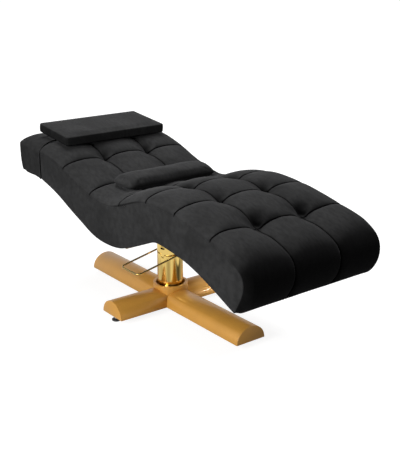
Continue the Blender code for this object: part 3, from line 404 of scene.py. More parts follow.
def crown_at(length, crown):
    """Height of the cushion's crest over the flank's outline."""
    head = smooth_share(length, HEAD_LENGTH - CROWN_BLEND, HEAD_LENGTH + CROWN_BLEND)
    swell = HEAD_CROWN + (crown - HEAD_CROWN) * head - NOSE_DROP * nose_share(length)
    inward = np.clip((SKIN.end - length) / CROWN_FALL, 0.0, 1.0)
    return swell * blend((CROWN_AT_END, 1.0), quarter_round(inward))


def tucked_share(lengths):
    """How far the cushion's cover is drawn in under the hood, from 1 to 0 past the hem."""
    return 1 - past(lengths, ROWS[0], HEM_STRETCH)


def seam_distances(lengths, across):
    """Distances to the nearest crosswise and lengthwise seam, on a grid."""
    to_row = np.min([np.abs(lengths - row) for row in ROWS[1:]], axis=0)[:, None]
    to_seam = np.abs(np.abs(across) - SEAM_Y)[None, :]
    return to_row, to_seam


def cushion_grid(lengths, across, quilt):
    """Points of the tufted top: domed, with creased seams and pulled knots."""
    to_row, to_seam = seam_distances(lengths, across)
    nose = nose_share(lengths)[:, None]
    tucked = tucked_share(lengths)[:, None]
    beside_hood = 1 - past(lengths, ROWS[0], HOOD_STRETCH)[:, None]
    width = SHOULDER + (NOSE_SHOULDER - SHOULDER) * nose - HOOD_SHOULDER_CUT * beside_hood
    inward = np.clip((HALF_WIDTH - np.abs(across))[None, :] / width, 0.0, 1.0)
    shoulder = quarter_round(inward)
    on_top = past(lengths, ROWS[0], SEAM_STRETCH)[:, None]
    fade = 1 - NOSE_FADE * past(lengths, ROWS[-1], NOSE_STRETCH)[:, None]
    fade = fade * smooth_share(SKIN.end - lengths, *END_STRETCH)[:, None]
    row = quilt.cross_depth * np.exp(-to_row / quilt.cross_reach) * on_top
    seam = quilt.long_depth * np.exp(-to_seam / quilt.long_reach) * on_top * fade
    to_knot = np.sqrt(to_row**2 + to_seam**2 + KNOT_CORE**2) - KNOT_CORE
    knot = np.exp(-to_knot / quilt.knot_reach)
    pull = 1 + LAST_PULL * smooth_share(lengths, ROWS[-2] + LAST_PUFF, ROWS[-1])[:, None]
    middle = np.clip(1 - (across / MIDDLE_REACH) ** 2, 0.0, 1.0)[None, :]
    height = crown_at(lengths, quilt.crown)[:, None]
    height = height + quilt.middle_rise * middle * (1 - tucked) * (1 - nose)
    height = height - np.maximum(row, seam) - quilt.knot_depth * pull * knot * on_top
    height = (height + np.sqrt(height**2 + FOLD_SOFTNESS**2)) / 2 * shoulder
    under_pillow = 1 - past(lengths, ROWS[0], PILLOW_STRETCH)[:, None]
    height = height - (HOOD_PRESS + PILLOW_PRESS * under_pillow) * tucked * shoulder
    point, normal = SKIN.at(lengths)
    x = point[:, 0, None] + normal[:, 0, None] * height + COLUMN_X
    z = point[:, 1, None] + normal[:, 1, None] * height
    y = across[None, :] * (1 - TUCKED_IN * tucked)
    return np.stack([x, y, z], axis=-1)


def graded(low, high, first, most, both=True):
    """Places from low to high whose steps grow away from low, and from high too."""
    reach = (high - low) / 2 if both else high - low
    marks = [0.0]
    step = first
    while marks[-1] + step < reach:
        marks.append(marks[-1] + step)
        step = min(most, step * 1.3)
    if both:
        return [low + m for m in marks] + [high - m for m in reversed(marks)][: len(marks) - 1]
    return [low + m for m in marks]


def shoulder_places(steps):
    """Distances from the middle where the dome falls to the side, from the edge inwards."""
    turns = [math.radians(90) * k / steps for k in range(steps)]
    return [HALF_WIDTH - SHOULDER * (1 - math.cos(turn)) for turn in turns]


def across_places(steps, first, most):
    """Places from one side of the top to the other, close together at its seams and edges."""
    side = shoulder_places(steps)
    inner = HALF_WIDTH - SHOULDER
    side += [y for y in reversed(graded(SEAM_Y, inner, first, most, both=False)) if y > SEAM_Y]
    middle = graded(-SEAM_Y, SEAM_Y, first, most)
    return np.array([-y for y in side] + middle + [SEAM_Y] + list(reversed(side)))


def along_places(first, most):
    """Lengths along the top from its head end to its foot end, close together at the seams."""
    places = list(np.linspace(0.0, ROWS[0], max(8, int(ROWS[0] / most)) + 1))[:-1]
    for low, high in zip(ROWS, ROWS[1:]):
        places += graded(low, high, first, most)
    tail = graded(ROWS[-1], SKIN.end, first, most, both=False)
    return np.array(places + tail + [SKIN.end])


def new_object(name, mesh):
    """A new object in the scene with this data."""
    item = bpy.data.objects.new(name, mesh)
    bpy.context.scene.collection.objects.link(item)
    return item


def mesh_piece(name, points, faces, material=None, turn_out=True):
    """A mesh object with its doubles merged and, if asked, its faces turned outwards."""
    mesh = bpy.data.meshes.new(name)
    mesh.from_pydata([tuple(map(float, p)) for p in points], [], faces)
    shape = bmesh.new()
    shape.from_mesh(mesh)
    bmesh.ops.remove_doubles(shape, verts=shape.verts, dist=MERGE)
    if turn_out:
        bmesh.ops.recalc_face_normals(shape, faces=shape.faces)
    shape.to_mesh(mesh)
    shape.free()
    item = new_object(name, mesh)
    if material:
        mesh.materials.append(material)
    return item


def lofted(rings):
    """Faces of a closed body through closed rings of equal length, with flat ends."""
    count, size = len(rings), len(rings[0])
    faces = []
    for i in range(count - 1):
        for k in range(size):
            after = (k + 1) % size
            faces.append((i * size + k, i * size + after, (i + 1) * size + after, (i + 1) * size + k))
    faces.append(tuple(range(size)))
    faces.append(tuple(range((count - 1) * size, count * size)))
    return faces


def sheet_faces(rows, columns):
    """Quads of a grid of points that are listed row by row."""
    return [
        (i * columns + k, (i + 1) * columns + k, (i + 1) * columns + k + 1, i * columns + k + 1)
        for i in range(rows - 1)
        for k in range(columns - 1)
    ]


def coordinates(mesh):
    """The mesh's points as an array."""
    values = np.empty(len(mesh.vertices) * 3, np.float32)
    mesh.vertices.foreach_get("co", values)
    return values.reshape(-1, 3).astype(float)


def move_points(item, spots):
    """Puts the object's points at these spots, and drops the groups that pinned them."""
    item.data.vertices.foreach_set("co", np.array(spots, np.float32).reshape(-1))
    item.vertex_groups.clear()


def evaluated_copy(item):
    """A plain mesh of the object with its modifiers done."""
    bpy.context.view_layer.update()
    graph = bpy.context.evaluated_depsgraph_get()
    return bpy.data.meshes.new_from_object(item.evaluated_get(graph))


def settle(item):
    """Leaves the object with its evaluated mesh and no modifiers."""
    mesh = evaluated_copy(item)
    item.modifiers.clear()
    item.data = mesh
    return item


def refine(item):
    """Subdivides the object once, smoothly, and leaves it as a plain mesh."""
    finer = item.modifiers.new("finer", "SUBSURF")
    finer.levels = finer.render_levels = 1
    return settle(item)


def shade(item, degrees=180.0):
    """Smooth shading, broken where faces meet at more than this angle."""
    item.data.shade_smooth()
    if degrees < 180.0:
        item.data.set_sharp_from_angle(angle=math.radians(degrees))
    return item


def declare(item, node, body):
    """Hides the CAD node that the piece stands for, and puts the piece on the body it rides on."""
    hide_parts(node)
    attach(item, body)


def cloth_shift(item, pinned, cap, padding):
    """How far each point of a mesh moves when its padding pushes against the cloth."""
    start = coordinates(item.data)
    group = item.vertex_groups.new(name="sewn")
    group.add([int(k) for k in np.flatnonzero(pinned)], 1.0, "REPLACE")
    cloth = item.modifiers.new("padding", "CLOTH")
    settings = cloth.settings
    settings.quality = CLOTH_QUALITY
    settings.mass = CLOTH_MASS
    settings.tension_stiffness = padding.cloth_stiffness
    settings.compression_stiffness = padding.cloth_stiffness
    settings.shear_stiffness = SHEAR_STIFFNESS
    settings.bending_stiffness = padding.bending
    settings.vertex_group_mass = "sewn"
    settings.use_pressure = True
    settings.uniform_pressure_force = padding.pressure
    settings.effector_weights.gravity = 0.0
    cloth.point_cache.frame_start = 1
    cloth.point_cache.frame_end = padding.frames
    scene = bpy.context.scene
    for step in range(1, padding.frames + 1):
        scene.frame_set(step)
    graph = bpy.context.evaluated_depsgraph_get()
    shown = item.evaluated_get(graph)
    shift = coordinates(shown.to_mesh()) - start
    shown.to_mesh_clear()
    item.modifiers.remove(cloth)
    scene.frame_set(1)
    far = np.linalg.norm(shift, axis=1, keepdims=True)
    return shift * np.minimum(1.0, cap / np.maximum(far, 1e-9))


def blend_weights(knots, places):
    """Weights that read a smooth curve through values at the knots, at other places."""
    knots = np.asarray(knots, float)
    weights = np.zeros((len(places), len(knots)))
    cell = np.clip(np.searchsorted(knots, places, side="right") - 1, 0, len(knots) - 2)
    gap = knots[cell + 1] - knots[cell]
    share = np.clip((np.asarray(places) - knots[cell]) / gap, 0.0, 1.0)
    terms = (
        (-1, (-share + 2 * share**2 - share**3) / 2),
        (0, (2 - 5 * share**2 + 3 * share**3) / 2),
        (1, (share + 4 * share**2 - 3 * share**3) / 2),
        (2, (-(share**2) + share**3) / 2),
    )
    rows = np.arange(len(places))
    for offset, term in terms:
        np.add.at(weights, (rows, np.clip(cell + offset, 0, len(knots) - 1)), term)
    return weights


def tree_node(tree, kind, inputs=None, **fields):
    """Adds a node with these fields, and links or sets its inputs."""
    node = tree.nodes.new(kind)
    for field, value in fields.items():
        setattr(node, field, value)
    for socket, value in (inputs or {}).items():
        if isinstance(value, bpy.types.NodeSocket):
            tree.links.new(value, node.inputs[socket])
        else:
            node.inputs[socket].default_value = value
    return node


def tree_math(tree, operation, first, second=0.0):
    """Adds a Math node on two values or sockets, and gives its result."""
    return tree_node(tree, "ShaderNodeMath", {0: first, 1: second}, operation=operation).outputs[0]


class Look:
    """A node material under construction, around one Principled shader."""

    def __init__(self, name, roughness=0.5, metallic=0.0, **sockets):
        self.material = bpy.data.materials.new(name)
        self.material.use_nodes = True
        self.tree = self.material.node_tree
        self.shader = self.tree.nodes["Principled BSDF"]
        self.shader.inputs["Roughness"].default_value = roughness
        self.shader.inputs["Metallic"].default_value = metallic
        for label, value in sockets.items():
            self.shader.inputs[label.replace("_", " ")].default_value = value
        self.place = self.add("ShaderNodeTexCoord").outputs["Object"]

    def add(self, kind, inputs=None, **fields):
        return tree_node(self.tree, kind, inputs, **fields)

    def math(self, operation, first, second):
        return tree_math(self.tree, operation, first, second)

    def noise(self, scale, detail=2.0, stretch=(1.0, 1.0, 1.0), distortion=0.0):
        """Noise of this scale on Object coordinates, drawn out where the stretch is small."""
        place = self.add("ShaderNodeMapping", {"Vector": self.place, "Scale": stretch})
        inputs = {
            "Vector": place.outputs[0],
            "Scale": scale,
            "Detail": detail,
            "Distortion": distortion,
        }
        return self.add("ShaderNodeTexNoise", inputs).outputs["Fac"]

    def ramp(self, value, stops):
        """Colours along the value, from stops of (position, colour)."""
        node = self.add("ShaderNodeValToRGB", {"Fac": value})
        marks = node.color_ramp.elements
        while len(marks) < len(stops):
            marks.new(0.5)
        for mark, (position, color) in zip(marks, stops):
            mark.position = position
            mark.color = (*color, 1.0)
        return node.outputs["Color"]

    def shades(self, value, color, dark, light):
        """Two shades of one colour, each given as a stop of (position, share)."""
        stops = [(position, scaled(color, share)) for position, share in (dark, light)]
        self.color(self.ramp(value, stops))

    def spread(self, value, low, high):
        """The middle half of the value, stretched from low to high."""
        inputs = {"Value": value, "From Min": 0.25, "From Max": 0.75, "To Min": low, "To Max": high}
        return self.add("ShaderNodeMapRange", inputs).outputs["Result"]

    def color(self, socket):
        self.tree.links.new(socket, self.shader.inputs["Base Color"])

    def rough(self, socket):
        self.tree.links.new(socket, self.shader.inputs["Roughness"])

    def bump(self, *layers):
        """Layers of (height, distance, strength), the coarsest first."""
        normal = None
        for height, distance, strength in layers:
            inputs = {"Height": height, "Distance": distance, "Strength": strength}
            if normal is not None:
                inputs["Normal"] = normal
            normal = self.add("ShaderNodeBump", inputs).outputs["Normal"]
        self.tree.links.new(normal, self.shader.inputs["Normal"])


def scaled(color, share):
    """The colour made lighter or darker."""
    return tuple(min(1.0, part * share) for part in color)


def made_once(usual_name):
    """Gives back the material of that name when it was made before, and makes it if not."""

    def wrap(make):
        @wraps(make)
        def find(name=usual_name, **values):
            return bpy.data.materials.get(name) or make(name, **values)

        return find

    return wrap


@made_once("Black velvet")
def velvet_look(name, share=1.0, sheen=1.0, pressed=False):
    """Black velvet; with pressed its colour is scaled by the piece's pile attribute, which holds
    painted shade.
    """
    velvet = bpy.context.scene.lash_bed_velvet
    look = Look(
        name,
        roughness=0.9,
        Specular_IOR_Level=0.0,
        Sheen_Weight=velvet.sheen * sheen,
        Sheen_Roughness=velvet.sheen_roughness,
        Sheen_Tint=(*velvet.pile_tint, 1.0),
    )
    base = scaled(velvet.color, share)
    nap = look.noise(5.0, 3.0, (1.0, 1.6, 1.3), 0.6)
    brushed = look.noise(38.0, 4.0, (1.0, 2.2, 1.0), 0.3)
    lifted = look.math("MULTIPLY", look.math("MULTIPLY", nap, brushed), 2.0)
    cloth = look.ramp(lifted, [(0.28, scaled(base, 0.8)), (0.72, scaled(base, 1.22))])
    # Painted shade: the colour is scaled down by the piece's pile attribute
    if pressed:
        unshaded_share = look.add("ShaderNodeAttribute", attribute_name="pile").outputs["Fac"]
        inputs = {0: cloth, "Scale": unshaded_share}
        cloth = look.add("ShaderNodeVectorMath", inputs, operation="SCALE").outputs[0]
    look.color(cloth)
    pile = look.noise(1500.0, 2.0)
    tracks = look.noise(140.0, 3.0, (1.0, 2.0, 1.0))
    look.rough(look.spread(pile, 0.82, 0.97))
    look.bump((tracks, 0.3 * MM, 0.12), (pile, 0.25 * MM, 0.5))
    return look.material


def shaded_velvet():
    """A darker copy of the velvet, painted shade for a face that lies under its piece, where no light
    reaches the pile.
    """
    return velvet_look("Velvet turned under", share=0.1, sheen=0.05)


@made_once("Black thread")
def thread_look(name):
    """Black sewing thread with its ply."""
    look = Look(name, roughness=0.6, Specular_IOR_Level=0.4)
    ply = look.noise(2600.0, 2.0)
    look.shades(ply, bpy.context.scene.lash_bed_velvet.thread_color, (0.3, 0.6), (0.7, 1.6))
    look.bump((ply, 0.1 * MM, 0.6))
    return look.material


@made_once("Lining cloth")
def lining_look(name):
    """Black lining of felted fibres."""
    look = Look(name, roughness=0.95, Specular_IOR_Level=0.15)
    fibres = look.noise(900.0, 3.0, (1.0, 0.3, 1.0), 1.2)
    inputs = {"Vector": look.place, "Scale": 420.0}
    dimples = look.add("ShaderNodeTexVoronoi", inputs).outputs["Distance"]
    look.shades(fibres, bpy.context.scene.lash_bed_velvet.lining_color, (0.3, 0.7), (0.75, 1.5))
    look.rough(look.spread(fibres, 0.88, 1.0))
    look.bump((dimples, 0.3 * MM, 0.5), (fibres, 0.2 * MM, 0.5))
    return look.material


@made_once("Gold paint")
def paint_look(name):
    """Satin gold paint with fine flake and a thin clear coat."""
    metal = bpy.context.scene.lash_bed_metal
    look = Look(
        name,
        metallic=metal.gold_metallic,
        Specular_IOR_Level=0.25,
        Coat_Weight=0.25,
        Coat_Roughness=0.14,
    )
    cloud = look.noise(11.0, 3.0)
    flake = look.noise(2400.0, 1.0)
    peel = look.noise(520.0, 2.0)
    half = look.math("MULTIPLY", look.math("ADD", cloud, flake), 0.5)
    look.shades(half, metal.gold_color, (0.35, 0.9), (0.65, 1.08))
    look.rough(look.spread(flake, metal.gold_roughness - 0.05, metal.gold_roughness + 0.05))
    look.bump((peel, 0.12 * MM, 0.18), (flake, 0.05 * MM, 0.12))
    return look.material


@made_once("Polished brass")
def brass_look(name, share=1.0):
    """Polished brass with faint turning marks."""
    metal = bpy.context.scene.lash_bed_metal
    look = Look(name, metallic=1.0)
    cloud = look.noise(9.0, 2.0)
    hair = look.noise(260.0, 3.0, (1.0, 1.0, 0.04))
    look.shades(cloud, scaled(metal.brass_color, share), (0.3, 0.93), (0.7, 1.05))
    look.rough(look.spread(hair, metal.brass_roughness * 0.8, metal.brass_roughness * 1.4))
    look.bump((hair, 0.02 * MM, 0.1))
    return look.material


@made_once("Zinc steel")
def steel_look(name, share=1.0):
    """Zinc plated steel with a soft grain."""
    look = Look(name, metallic=1.0)
    cloud = look.noise(30.0, 4.0)
    grain = look.noise(700.0, 2.0, (1.0, 1.0, 0.2))
    color = scaled(bpy.context.scene.lash_bed_metal.steel_color, share)
    look.shades(cloud, color, (0.3, 0.82), (0.7, 1.1))
    look.rough(look.spread(grain, 0.26, 0.42))
    look.bump((grain, 0.03 * MM, 0.25))
    return look.material


@made_once("Plywood")
def wood_look(name):
    """Plywood with long grain and its plies."""
    look = Look(name, Specular_IOR_Level=0.3)
    grain = look.noise(26.0, 6.0, (0.18, 1.0, 1.0), 1.4)
    inputs = {"Vector": look.place, "Scale": 60.0, "Distortion": 1.2, "Detail": 2.0}
    plies = look.add("ShaderNodeTexWave", inputs, bands_direction="Z").outputs["Fac"]
    half = look.math("MULTIPLY", look.math("ADD", grain, plies), 0.5)
    look.shades(half, bpy.context.scene.lash_bed_metal.wood_color, (0.25, 0.62), (0.75, 1.15))
    look.rough(look.spread(grain, 0.6, 0.8))
    look.bump((grain, 0.2 * MM, 0.3))
    return look.material


@made_once("Black plastic")
def plastic_look(name):
    """Matte black moulded plastic."""
    look = Look(name, Specular_IOR_Level=0.45)
    cloud = look.noise(60.0, 3.0)
    grain = look.noise(1300.0, 2.0)
    look.shades(cloud, bpy.context.scene.lash_bed_metal.plastic_color, (0.3, 0.8), (0.7, 1.3))
    look.rough(look.spread(grain, 0.42, 0.58))
    look.bump((grain, 0.08 * MM, 0.35))
    return look.material


def node_group(name, inputs):
    """A geometry node tree with named inputs and a geometry output."""
    tree = bpy.data.node_groups.new(name, "GeometryNodeTree")
    tree.interface.new_socket("Geometry", in_out="INPUT", socket_type="NodeSocketGeometry")
    for label, kind, value in inputs:
        socket = tree.interface.new_socket(label, in_out="INPUT", socket_type=kind)
        if value is not None:
            socket.default_value = value
    tree.interface.new_socket("Geometry", in_out="OUTPUT", socket_type="NodeSocketGeometry")
    return tree, tree.nodes.new("NodeGroupInput"), tree.nodes.new("NodeGroupOutput")


def run_tree(item, tree, values):
    """Puts the tree on the object with these inputs and leaves its result as a plain mesh."""
    step = item.modifiers.new(tree.name, "NODES")
    step.node_group = tree
    for socket in tree.interface.items_tree:
        if socket.in_out == "INPUT" and socket.name in values:
            step[socket.identifier] = values[socket.name]
    return settle(item)


def quilting_tree():
    """Presses the sewn crease into a padded surface and makes its padding a little uneven."""
    made = bpy.data.node_groups.get("Quilting")
    if made:
        return made
    tree, inside, outside = node_group(
        "Quilting",
        [
            ("Crease Depth", "NodeSocketFloat", 2.0 * MM),
            ("Crease Width", "NodeSocketFloat", 2.0 * MM),
            ("Unevenness", "NodeSocketFloat", 0.6 * MM),
            ("Lump Size", "NodeSocketFloat", 14.0),
            ("Material", "NodeSocketMaterial", None),
        ],
    )
    near = tree_node(tree, "GeometryNodeInputNamedAttribute", {"Name": "to_seam"}, data_type="FLOAT")
    share = tree_math(tree, "DIVIDE", near.outputs["Attribute"], inside.outputs["Crease Width"])
    square = tree_math(tree, "MULTIPLY", share, share)
    fall = tree_math(tree, "EXPONENT", tree_math(tree, "MULTIPLY", square, -1.0))
    crease = tree_math(tree, "MULTIPLY", fall, inside.outputs["Crease Depth"])
    free = tree_node(tree, "GeometryNodeInputNamedAttribute", {"Name": "free"}, data_type="FLOAT")
    lump = tree_node(
        tree, "ShaderNodeTexNoise", {"Scale": inside.outputs["Lump Size"], "Detail": 2.0}
    )
    centred = tree_math(tree, "SUBTRACT", lump.outputs["Fac"], 0.5)
    wobble = tree_math(tree, "MULTIPLY", centred, inside.outputs["Unevenness"])
    wobble = tree_math(tree, "MULTIPLY", wobble, free.outputs["Attribute"])
    rise = tree_math(tree, "SUBTRACT", wobble, crease)
    normal = tree_node(tree, "GeometryNodeInputNormal")
    offset = tree_node(
        tree, "ShaderNodeVectorMath", {0: normal.outputs[0], "Scale": rise}, operation="SCALE"
    )
    moved = tree_node(
        tree,
        "GeometryNodeSetPosition",
        {"Geometry": inside.outputs["Geometry"], "Offset": offset.outputs[0]},
    )
    real = tree_node(tree, "GeometryNodeRealizeInstances", {"Geometry": moved.outputs[0]})
    look = tree_node(
        tree,
        "GeometryNodeSetMaterial",
        {"Geometry": real.outputs[0], "Material": inside.outputs["Material"]},
    )
    tree.links.new(look.outputs[0], outside.inputs[0])
    return tree


def stitching_tree():
    """Lays one short thread after another along each edge path, half sunk in the cloth."""
    made = bpy.data.node_groups.get("Stitching")
    if made:
        return made
    tree, inside, outside = node_group(
        "Stitching",
        [
            ("Pitch", "NodeSocketFloat", 4.0 * MM),
            ("Stitch Length", "NodeSocketFloat", 3.0 * MM),
            ("Thread Width", "NodeSocketFloat", 0.7 * MM),
            ("Seed", "NodeSocketInt", 3),
            ("Material", "NodeSocketMaterial", None),
        ],
    )
    path = tree_node(tree, "GeometryNodeMeshToCurve", {"Mesh": inside.outputs["Geometry"]})
    spaced = tree_node(
        tree,
        "GeometryNodeResampleCurve",
        {"Curve": path.outputs[0], "Length": inside.outputs["Pitch"]},
        mode="LENGTH",
    )
    tangent = tree_node(tree, "GeometryNodeInputTangent")
    aligned = tree_node(
        tree, "FunctionNodeAlignEulerToVector", {"Vector": tangent.outputs[0]}, axis="X"
    )
    lean = tree_node(
        tree,
        "FunctionNodeRandomValue",
        {"Min": (0.0, 0.0, -0.08), "Max": (0.0, 0.0, 0.08), "Seed": inside.outputs["Seed"]},
        data_type="FLOAT_VECTOR",
    )
    turned = tree_node(
        tree,
        "FunctionNodeRotateEuler",
        {"Rotation": aligned.outputs[0], "Rotate By": lean.outputs[0]},
        space="LOCAL",
    )
    bead = tree_node(
        tree, "GeometryNodeMeshUVSphere", {"Segments": 6, "Rings": 4, "Radius": 0.5}
    )
    size = tree_node(
        tree,
        "ShaderNodeCombineXYZ",
        {
            "X": inside.outputs["Stitch Length"],
            "Y": inside.outputs["Thread Width"],
            "Z": inside.outputs["Thread Width"],
        },
    )
    placed = tree_node(
        tree,
        "GeometryNodeInstanceOnPoints",
        {
            "Points": spaced.outputs[0],
            "Instance": bead.outputs[0],
            "Rotation": turned.outputs[0],
            "Scale": size.outputs[0],
        },
    )
    real = tree_node(tree, "GeometryNodeRealizeInstances", {"Geometry": placed.outputs[0]})
    smooth = tree_node(tree, "GeometryNodeSetShadeSmooth", {"Geometry": real.outputs[0]})
    look = tree_node(
        tree,
        "GeometryNodeSetMaterial",
        {"Geometry": smooth.outputs[0], "Material": inside.outputs["Material"]},
    )
    tree.links.new(look.outputs[0], outside.inputs[0])
    return tree


def path_object(name, lines):
    """A mesh of edge paths through lists of points."""
    points = []
    edges = []
    for line in lines:
        start = len(points)
        points += [tuple(map(float, p)) for p in line]
        edges += [(k, k + 1) for k in range(start, len(points) - 1)]
    mesh = bpy.data.meshes.new(name)
    mesh.from_pydata(points, edges, [])
    return new_object(name, mesh)


def stitch(name, lines, body):
    """Thread along the lines, riding on a body."""
    velvet = bpy.context.scene.lash_bed_velvet
    item = path_object(name, lines)
    run_tree(
        item,
        stitching_tree(),
        {
            "Pitch": velvet.stitch_pitch,
            "Stitch Length": velvet.stitch_length,
            "Thread Width": velvet.thread_width,
            "Seed": STITCH_SEED,
            "Material": thread_look(),
        },
    )
    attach(item, body)


def set_values(item, name, values):
    """Writes one value for each point of the object as an attribute."""
    data = item.data.attributes.new(name, "FLOAT", "POINT")
    data.data.foreach_set("value", np.asarray(values, np.float32))


def lay_pile(item, pressed, wave=None):
    """Writes painted shade into the pile attribute: on slopes that face the foot end and in hollows,
    or at the bolster's front and underside.
    """
    fall = bpy.context.scene.lash_bed_velvet.turned_pile
    normals = np.empty(len(item.data.vertices) * 3, np.float32)
    item.data.vertex_normals.foreach_get("vector", normals)
    normals = normals.reshape(-1, 3)
    if wave is None:
        unshaded_share = 1 - BOLSTER_FRONT_SHADE * fall * smooth_share(normals[:, 0], *BOLSTER_SLOPE)
        unshaded_share = unshaded_share * (1 - fall * smooth_share(-normals[:, 2], *BOLSTER_UNDERSIDE))
    else:
        unshaded_share = 1 - fall * smooth_share(np.maximum(normals[:, 0], wave), *TOP_SLOPE)
        hollow_shade = smooth_share(normals[:, 0] - wave, *HOLLOW_SLOPE)
        hollow_shade = hollow_shade * smooth_share(-normals[:, 1], *HOLLOW_SIDE)
        unshaded_share = unshaded_share * (1 - HOLLOW_SHADE * hollow_shade)
    set_values(item, "pile", unshaded_share * pressed)


def padded_grid(grid, lengths, across):
    """The top's points after its padding has pushed the cloth up between the seams."""
    quilt = bpy.context.scene.lash_bed_quilt
    padding = bpy.context.scene.lash_bed_padding
    coarse_lengths = along_places(*CLOTH_STEPS)
    coarse_across = across_places(CLOTH_SHOULDER_ROWS, *CLOTH_STEPS)
    coarse = cushion_grid(coarse_lengths, coarse_across, quilt)
    rows, columns = coarse.shape[:2]
    cloth = mesh_piece("cloth", coarse.reshape(-1, 3), sheet_faces(rows, columns), turn_out=False)
    to_row, to_seam = seam_distances(coarse_lengths, coarse_across)
    sewn = (to_row < AT_SEAM) | (to_seam < AT_SEAM)
    edge = (np.abs(coarse_across) > HALF_WIDTH - AT_SEAM)[None, :]
    hooded = coarse_lengths < ROWS[0] + AT_SEAM
    ends = (hooded | (coarse_lengths > SKIN.end - AT_SEAM))[:, None]
    pinned = (sewn | edge | ends).reshape(-1)
    shift = cloth_shift(cloth, pinned, padding.cushion_cap, padding).reshape(rows, columns, 3)
    bpy.data.objects.remove(cloth)
    first = blend_weights(coarse_lengths, lengths)
    second = blend_weights(coarse_across, across)
    return grid + np.einsum("ia,abk,jb->ijk", first, shift, second)


def cushion_rings(grid, lengths):
    """Closed rings across the cushion: its top, and the rim turned under it."""
    point, normal = SKIN.at(lengths)
    tucked = tucked_share(lengths)
    rings = []
    for i in range(len(lengths)):
        under = []
        for inset, drop in RIM_MM:
            spot = point[i] - normal[i] * drop * MM
            wide = (HALF_WIDTH - inset * MM) * (1 - TUCKED_IN * tucked[i])
            under.append((spot[0] + COLUMN_X, wide, spot[1]))
        left = [(x, -y, z) for x, y, z in reversed(under)]
        rings.append([tuple(p) for p in grid[i]] + under + left)
    return rings


def left_upright(distance, crush):
    """How much of the colour painted shade leaves at a distance from a crease or knot."""
    share, reach = crush
    return 1 - share * np.exp(-((distance / reach) ** 2))


def top_marks(lengths, across):
    """For each point of the top: its seam's distance, its freedom, its painted shade round knots and
    seams, and its slope.
    """
    to_row, to_seam = seam_distances(lengths, across)
    on_top = past(lengths, ROWS[0], MARK_STRETCH)[:, None]
    near = np.minimum(to_row, to_seam) + (1 - on_top)
    to_side = np.clip((HALF_WIDTH - np.abs(across)) / FREE_REACH, 0, 1)
    to_end = np.clip((SKIN.end - lengths) / FREE_REACH, 0, 1)[:, None]
    free = np.minimum(near / FREE_BESIDE_SEAM, 1.0) * to_side * to_end
    to_knot = np.sqrt(to_row**2 + to_seam**2) + (1 - on_top)
    pile = left_upright(to_knot, KNOT_SHADE) * left_upright(near, SEAM_SHADE)
    slope = np.broadcast_to(SKIN.at(lengths)[1][:, 0, None], near.shape)
    return np.stack([near, free, pile, slope], axis=-1)


def spot_key(spot):
    """A point's place, rounded, as the name under which its marks are found."""
    return tuple(np.round(np.float32(spot), 5))


def marks_at(item, grid, marks):
    """The grid's marks for each point of the object; points off the grid are plain."""
    table = {spot_key(spot): mark for spot, mark in zip(grid.reshape(-1, 3), marks.reshape(-1, 4))}
    plain = (1.0, 0.0, 1.0, 0.0)
    return np.array([table.get(spot_key(spot), plain) for spot in coordinates(item.data)])


def top_seams(grid, lengths, across, sink):
    """Lines along the top's seams, sunk into their creases."""
    _, normal = SKIN.at(lengths)
    lift = np.stack([normal[:, 0], np.zeros(len(lengths)), normal[:, 1]], axis=-1)
    start = int(np.argmax(lengths >= ROWS[0]))
    lines = []
    for side in (-1, 1):
        column = int(np.argmin(np.abs(across - side * SEAM_Y)))
        lines.append(grid[start:-3, column] - lift[start:-3] * sink)
    keep = np.abs(across) < HALF_WIDTH - SEAM_STOP
    for row in ROWS[1:]:
        index = int(np.argmin(np.abs(lengths - row)))
        lines.append(grid[index][keep] - lift[index] * sink)
    return lines


def make_top_cushion():
    """The tufted top: padded by cloth simulation between its seams, then creased and sewn."""
    quilt = bpy.context.scene.lash_bed_quilt
    lengths = along_places(*FINE_STEPS)
    across = across_places(FINE_SHOULDER_ROWS, *FINE_STEPS)
    grid = cushion_grid(lengths, across, quilt)
    grid = padded_grid(grid, lengths, across)
    rings = cushion_rings(grid, lengths)
    cover = velvet_look("Tufted velvet", pressed=True)
    item = mesh_piece("tufted_top", [p for ring in rings for p in ring], lofted(rings), cover)
    to_seam, free, pile, slope = marks_at(item, grid, top_marks(lengths, across)).T
    set_values(item, "to_seam", to_seam)
    set_values(item, "free", free)
    shade(item)
    run_tree(
        item,
        quilting_tree(),
        {
            "Crease Depth": quilt.crease_depth,
            "Crease Width": quilt.crease_width,
            "Unevenness": quilt.unevenness,
            "Lump Size": 9.0,
            "Material": cover,
        },
    )
    shade(item)
    # Painted shade into the pile attribute: round knots and seams, and on slopes that face the foot
    # end
    lay_pile(item, pile, slope)
    declare(item, "top_cushion", "bed")
    SEAM_LINES["top"] = top_seams(grid, lengths, across, quilt.crease_depth * CREASE_SINK)


def signed_area(outline):
    """Area of a closed outline in (x, z), below 0 when it runs clockwise."""
    x, z = outline[:, 0], outline[:, 1]
    return float(np.sum(x * np.roll(z, -1) - np.roll(x, -1) * z)) / 2


def flank_outline():
    """Outline of the flank in (x, z): the wave's upper curve and back along the lower one."""
    top = np.linspace(0.0, SKIN.end, int(SKIN.end / OUTLINE_STEP))
    low = np.linspace(0.0, UNDER.end, int(UNDER.end / OUTLINE_STEP))
    upper, normal = SKIN.at(top)
    upper = upper - normal * (CUSHION_RIM + RIM_GAP)
    lower, _ = UNDER.at(low)
    outline = np.concatenate([upper, lower[::-1]])
    outline[:, 0] += COLUMN_X
    gap = np.linalg.norm(outline - np.roll(outline, 1, axis=0), axis=1)
    return outline[gap > OUTLINE_STEP / 4]


def distance_to(outline, points):
    """Distance from each point to a closed outline."""
    best = np.full(len(points), 1e9)
    for first, second in zip(outline, np.roll(outline, -1, axis=0)):
        side = second - first
        share = np.clip(((points - first) @ side) / (side @ side), 0.0, 1.0)
        gap = np.linalg.norm(points - first - share[:, None] * side, axis=1)
        best = np.minimum(best, gap)
    return best


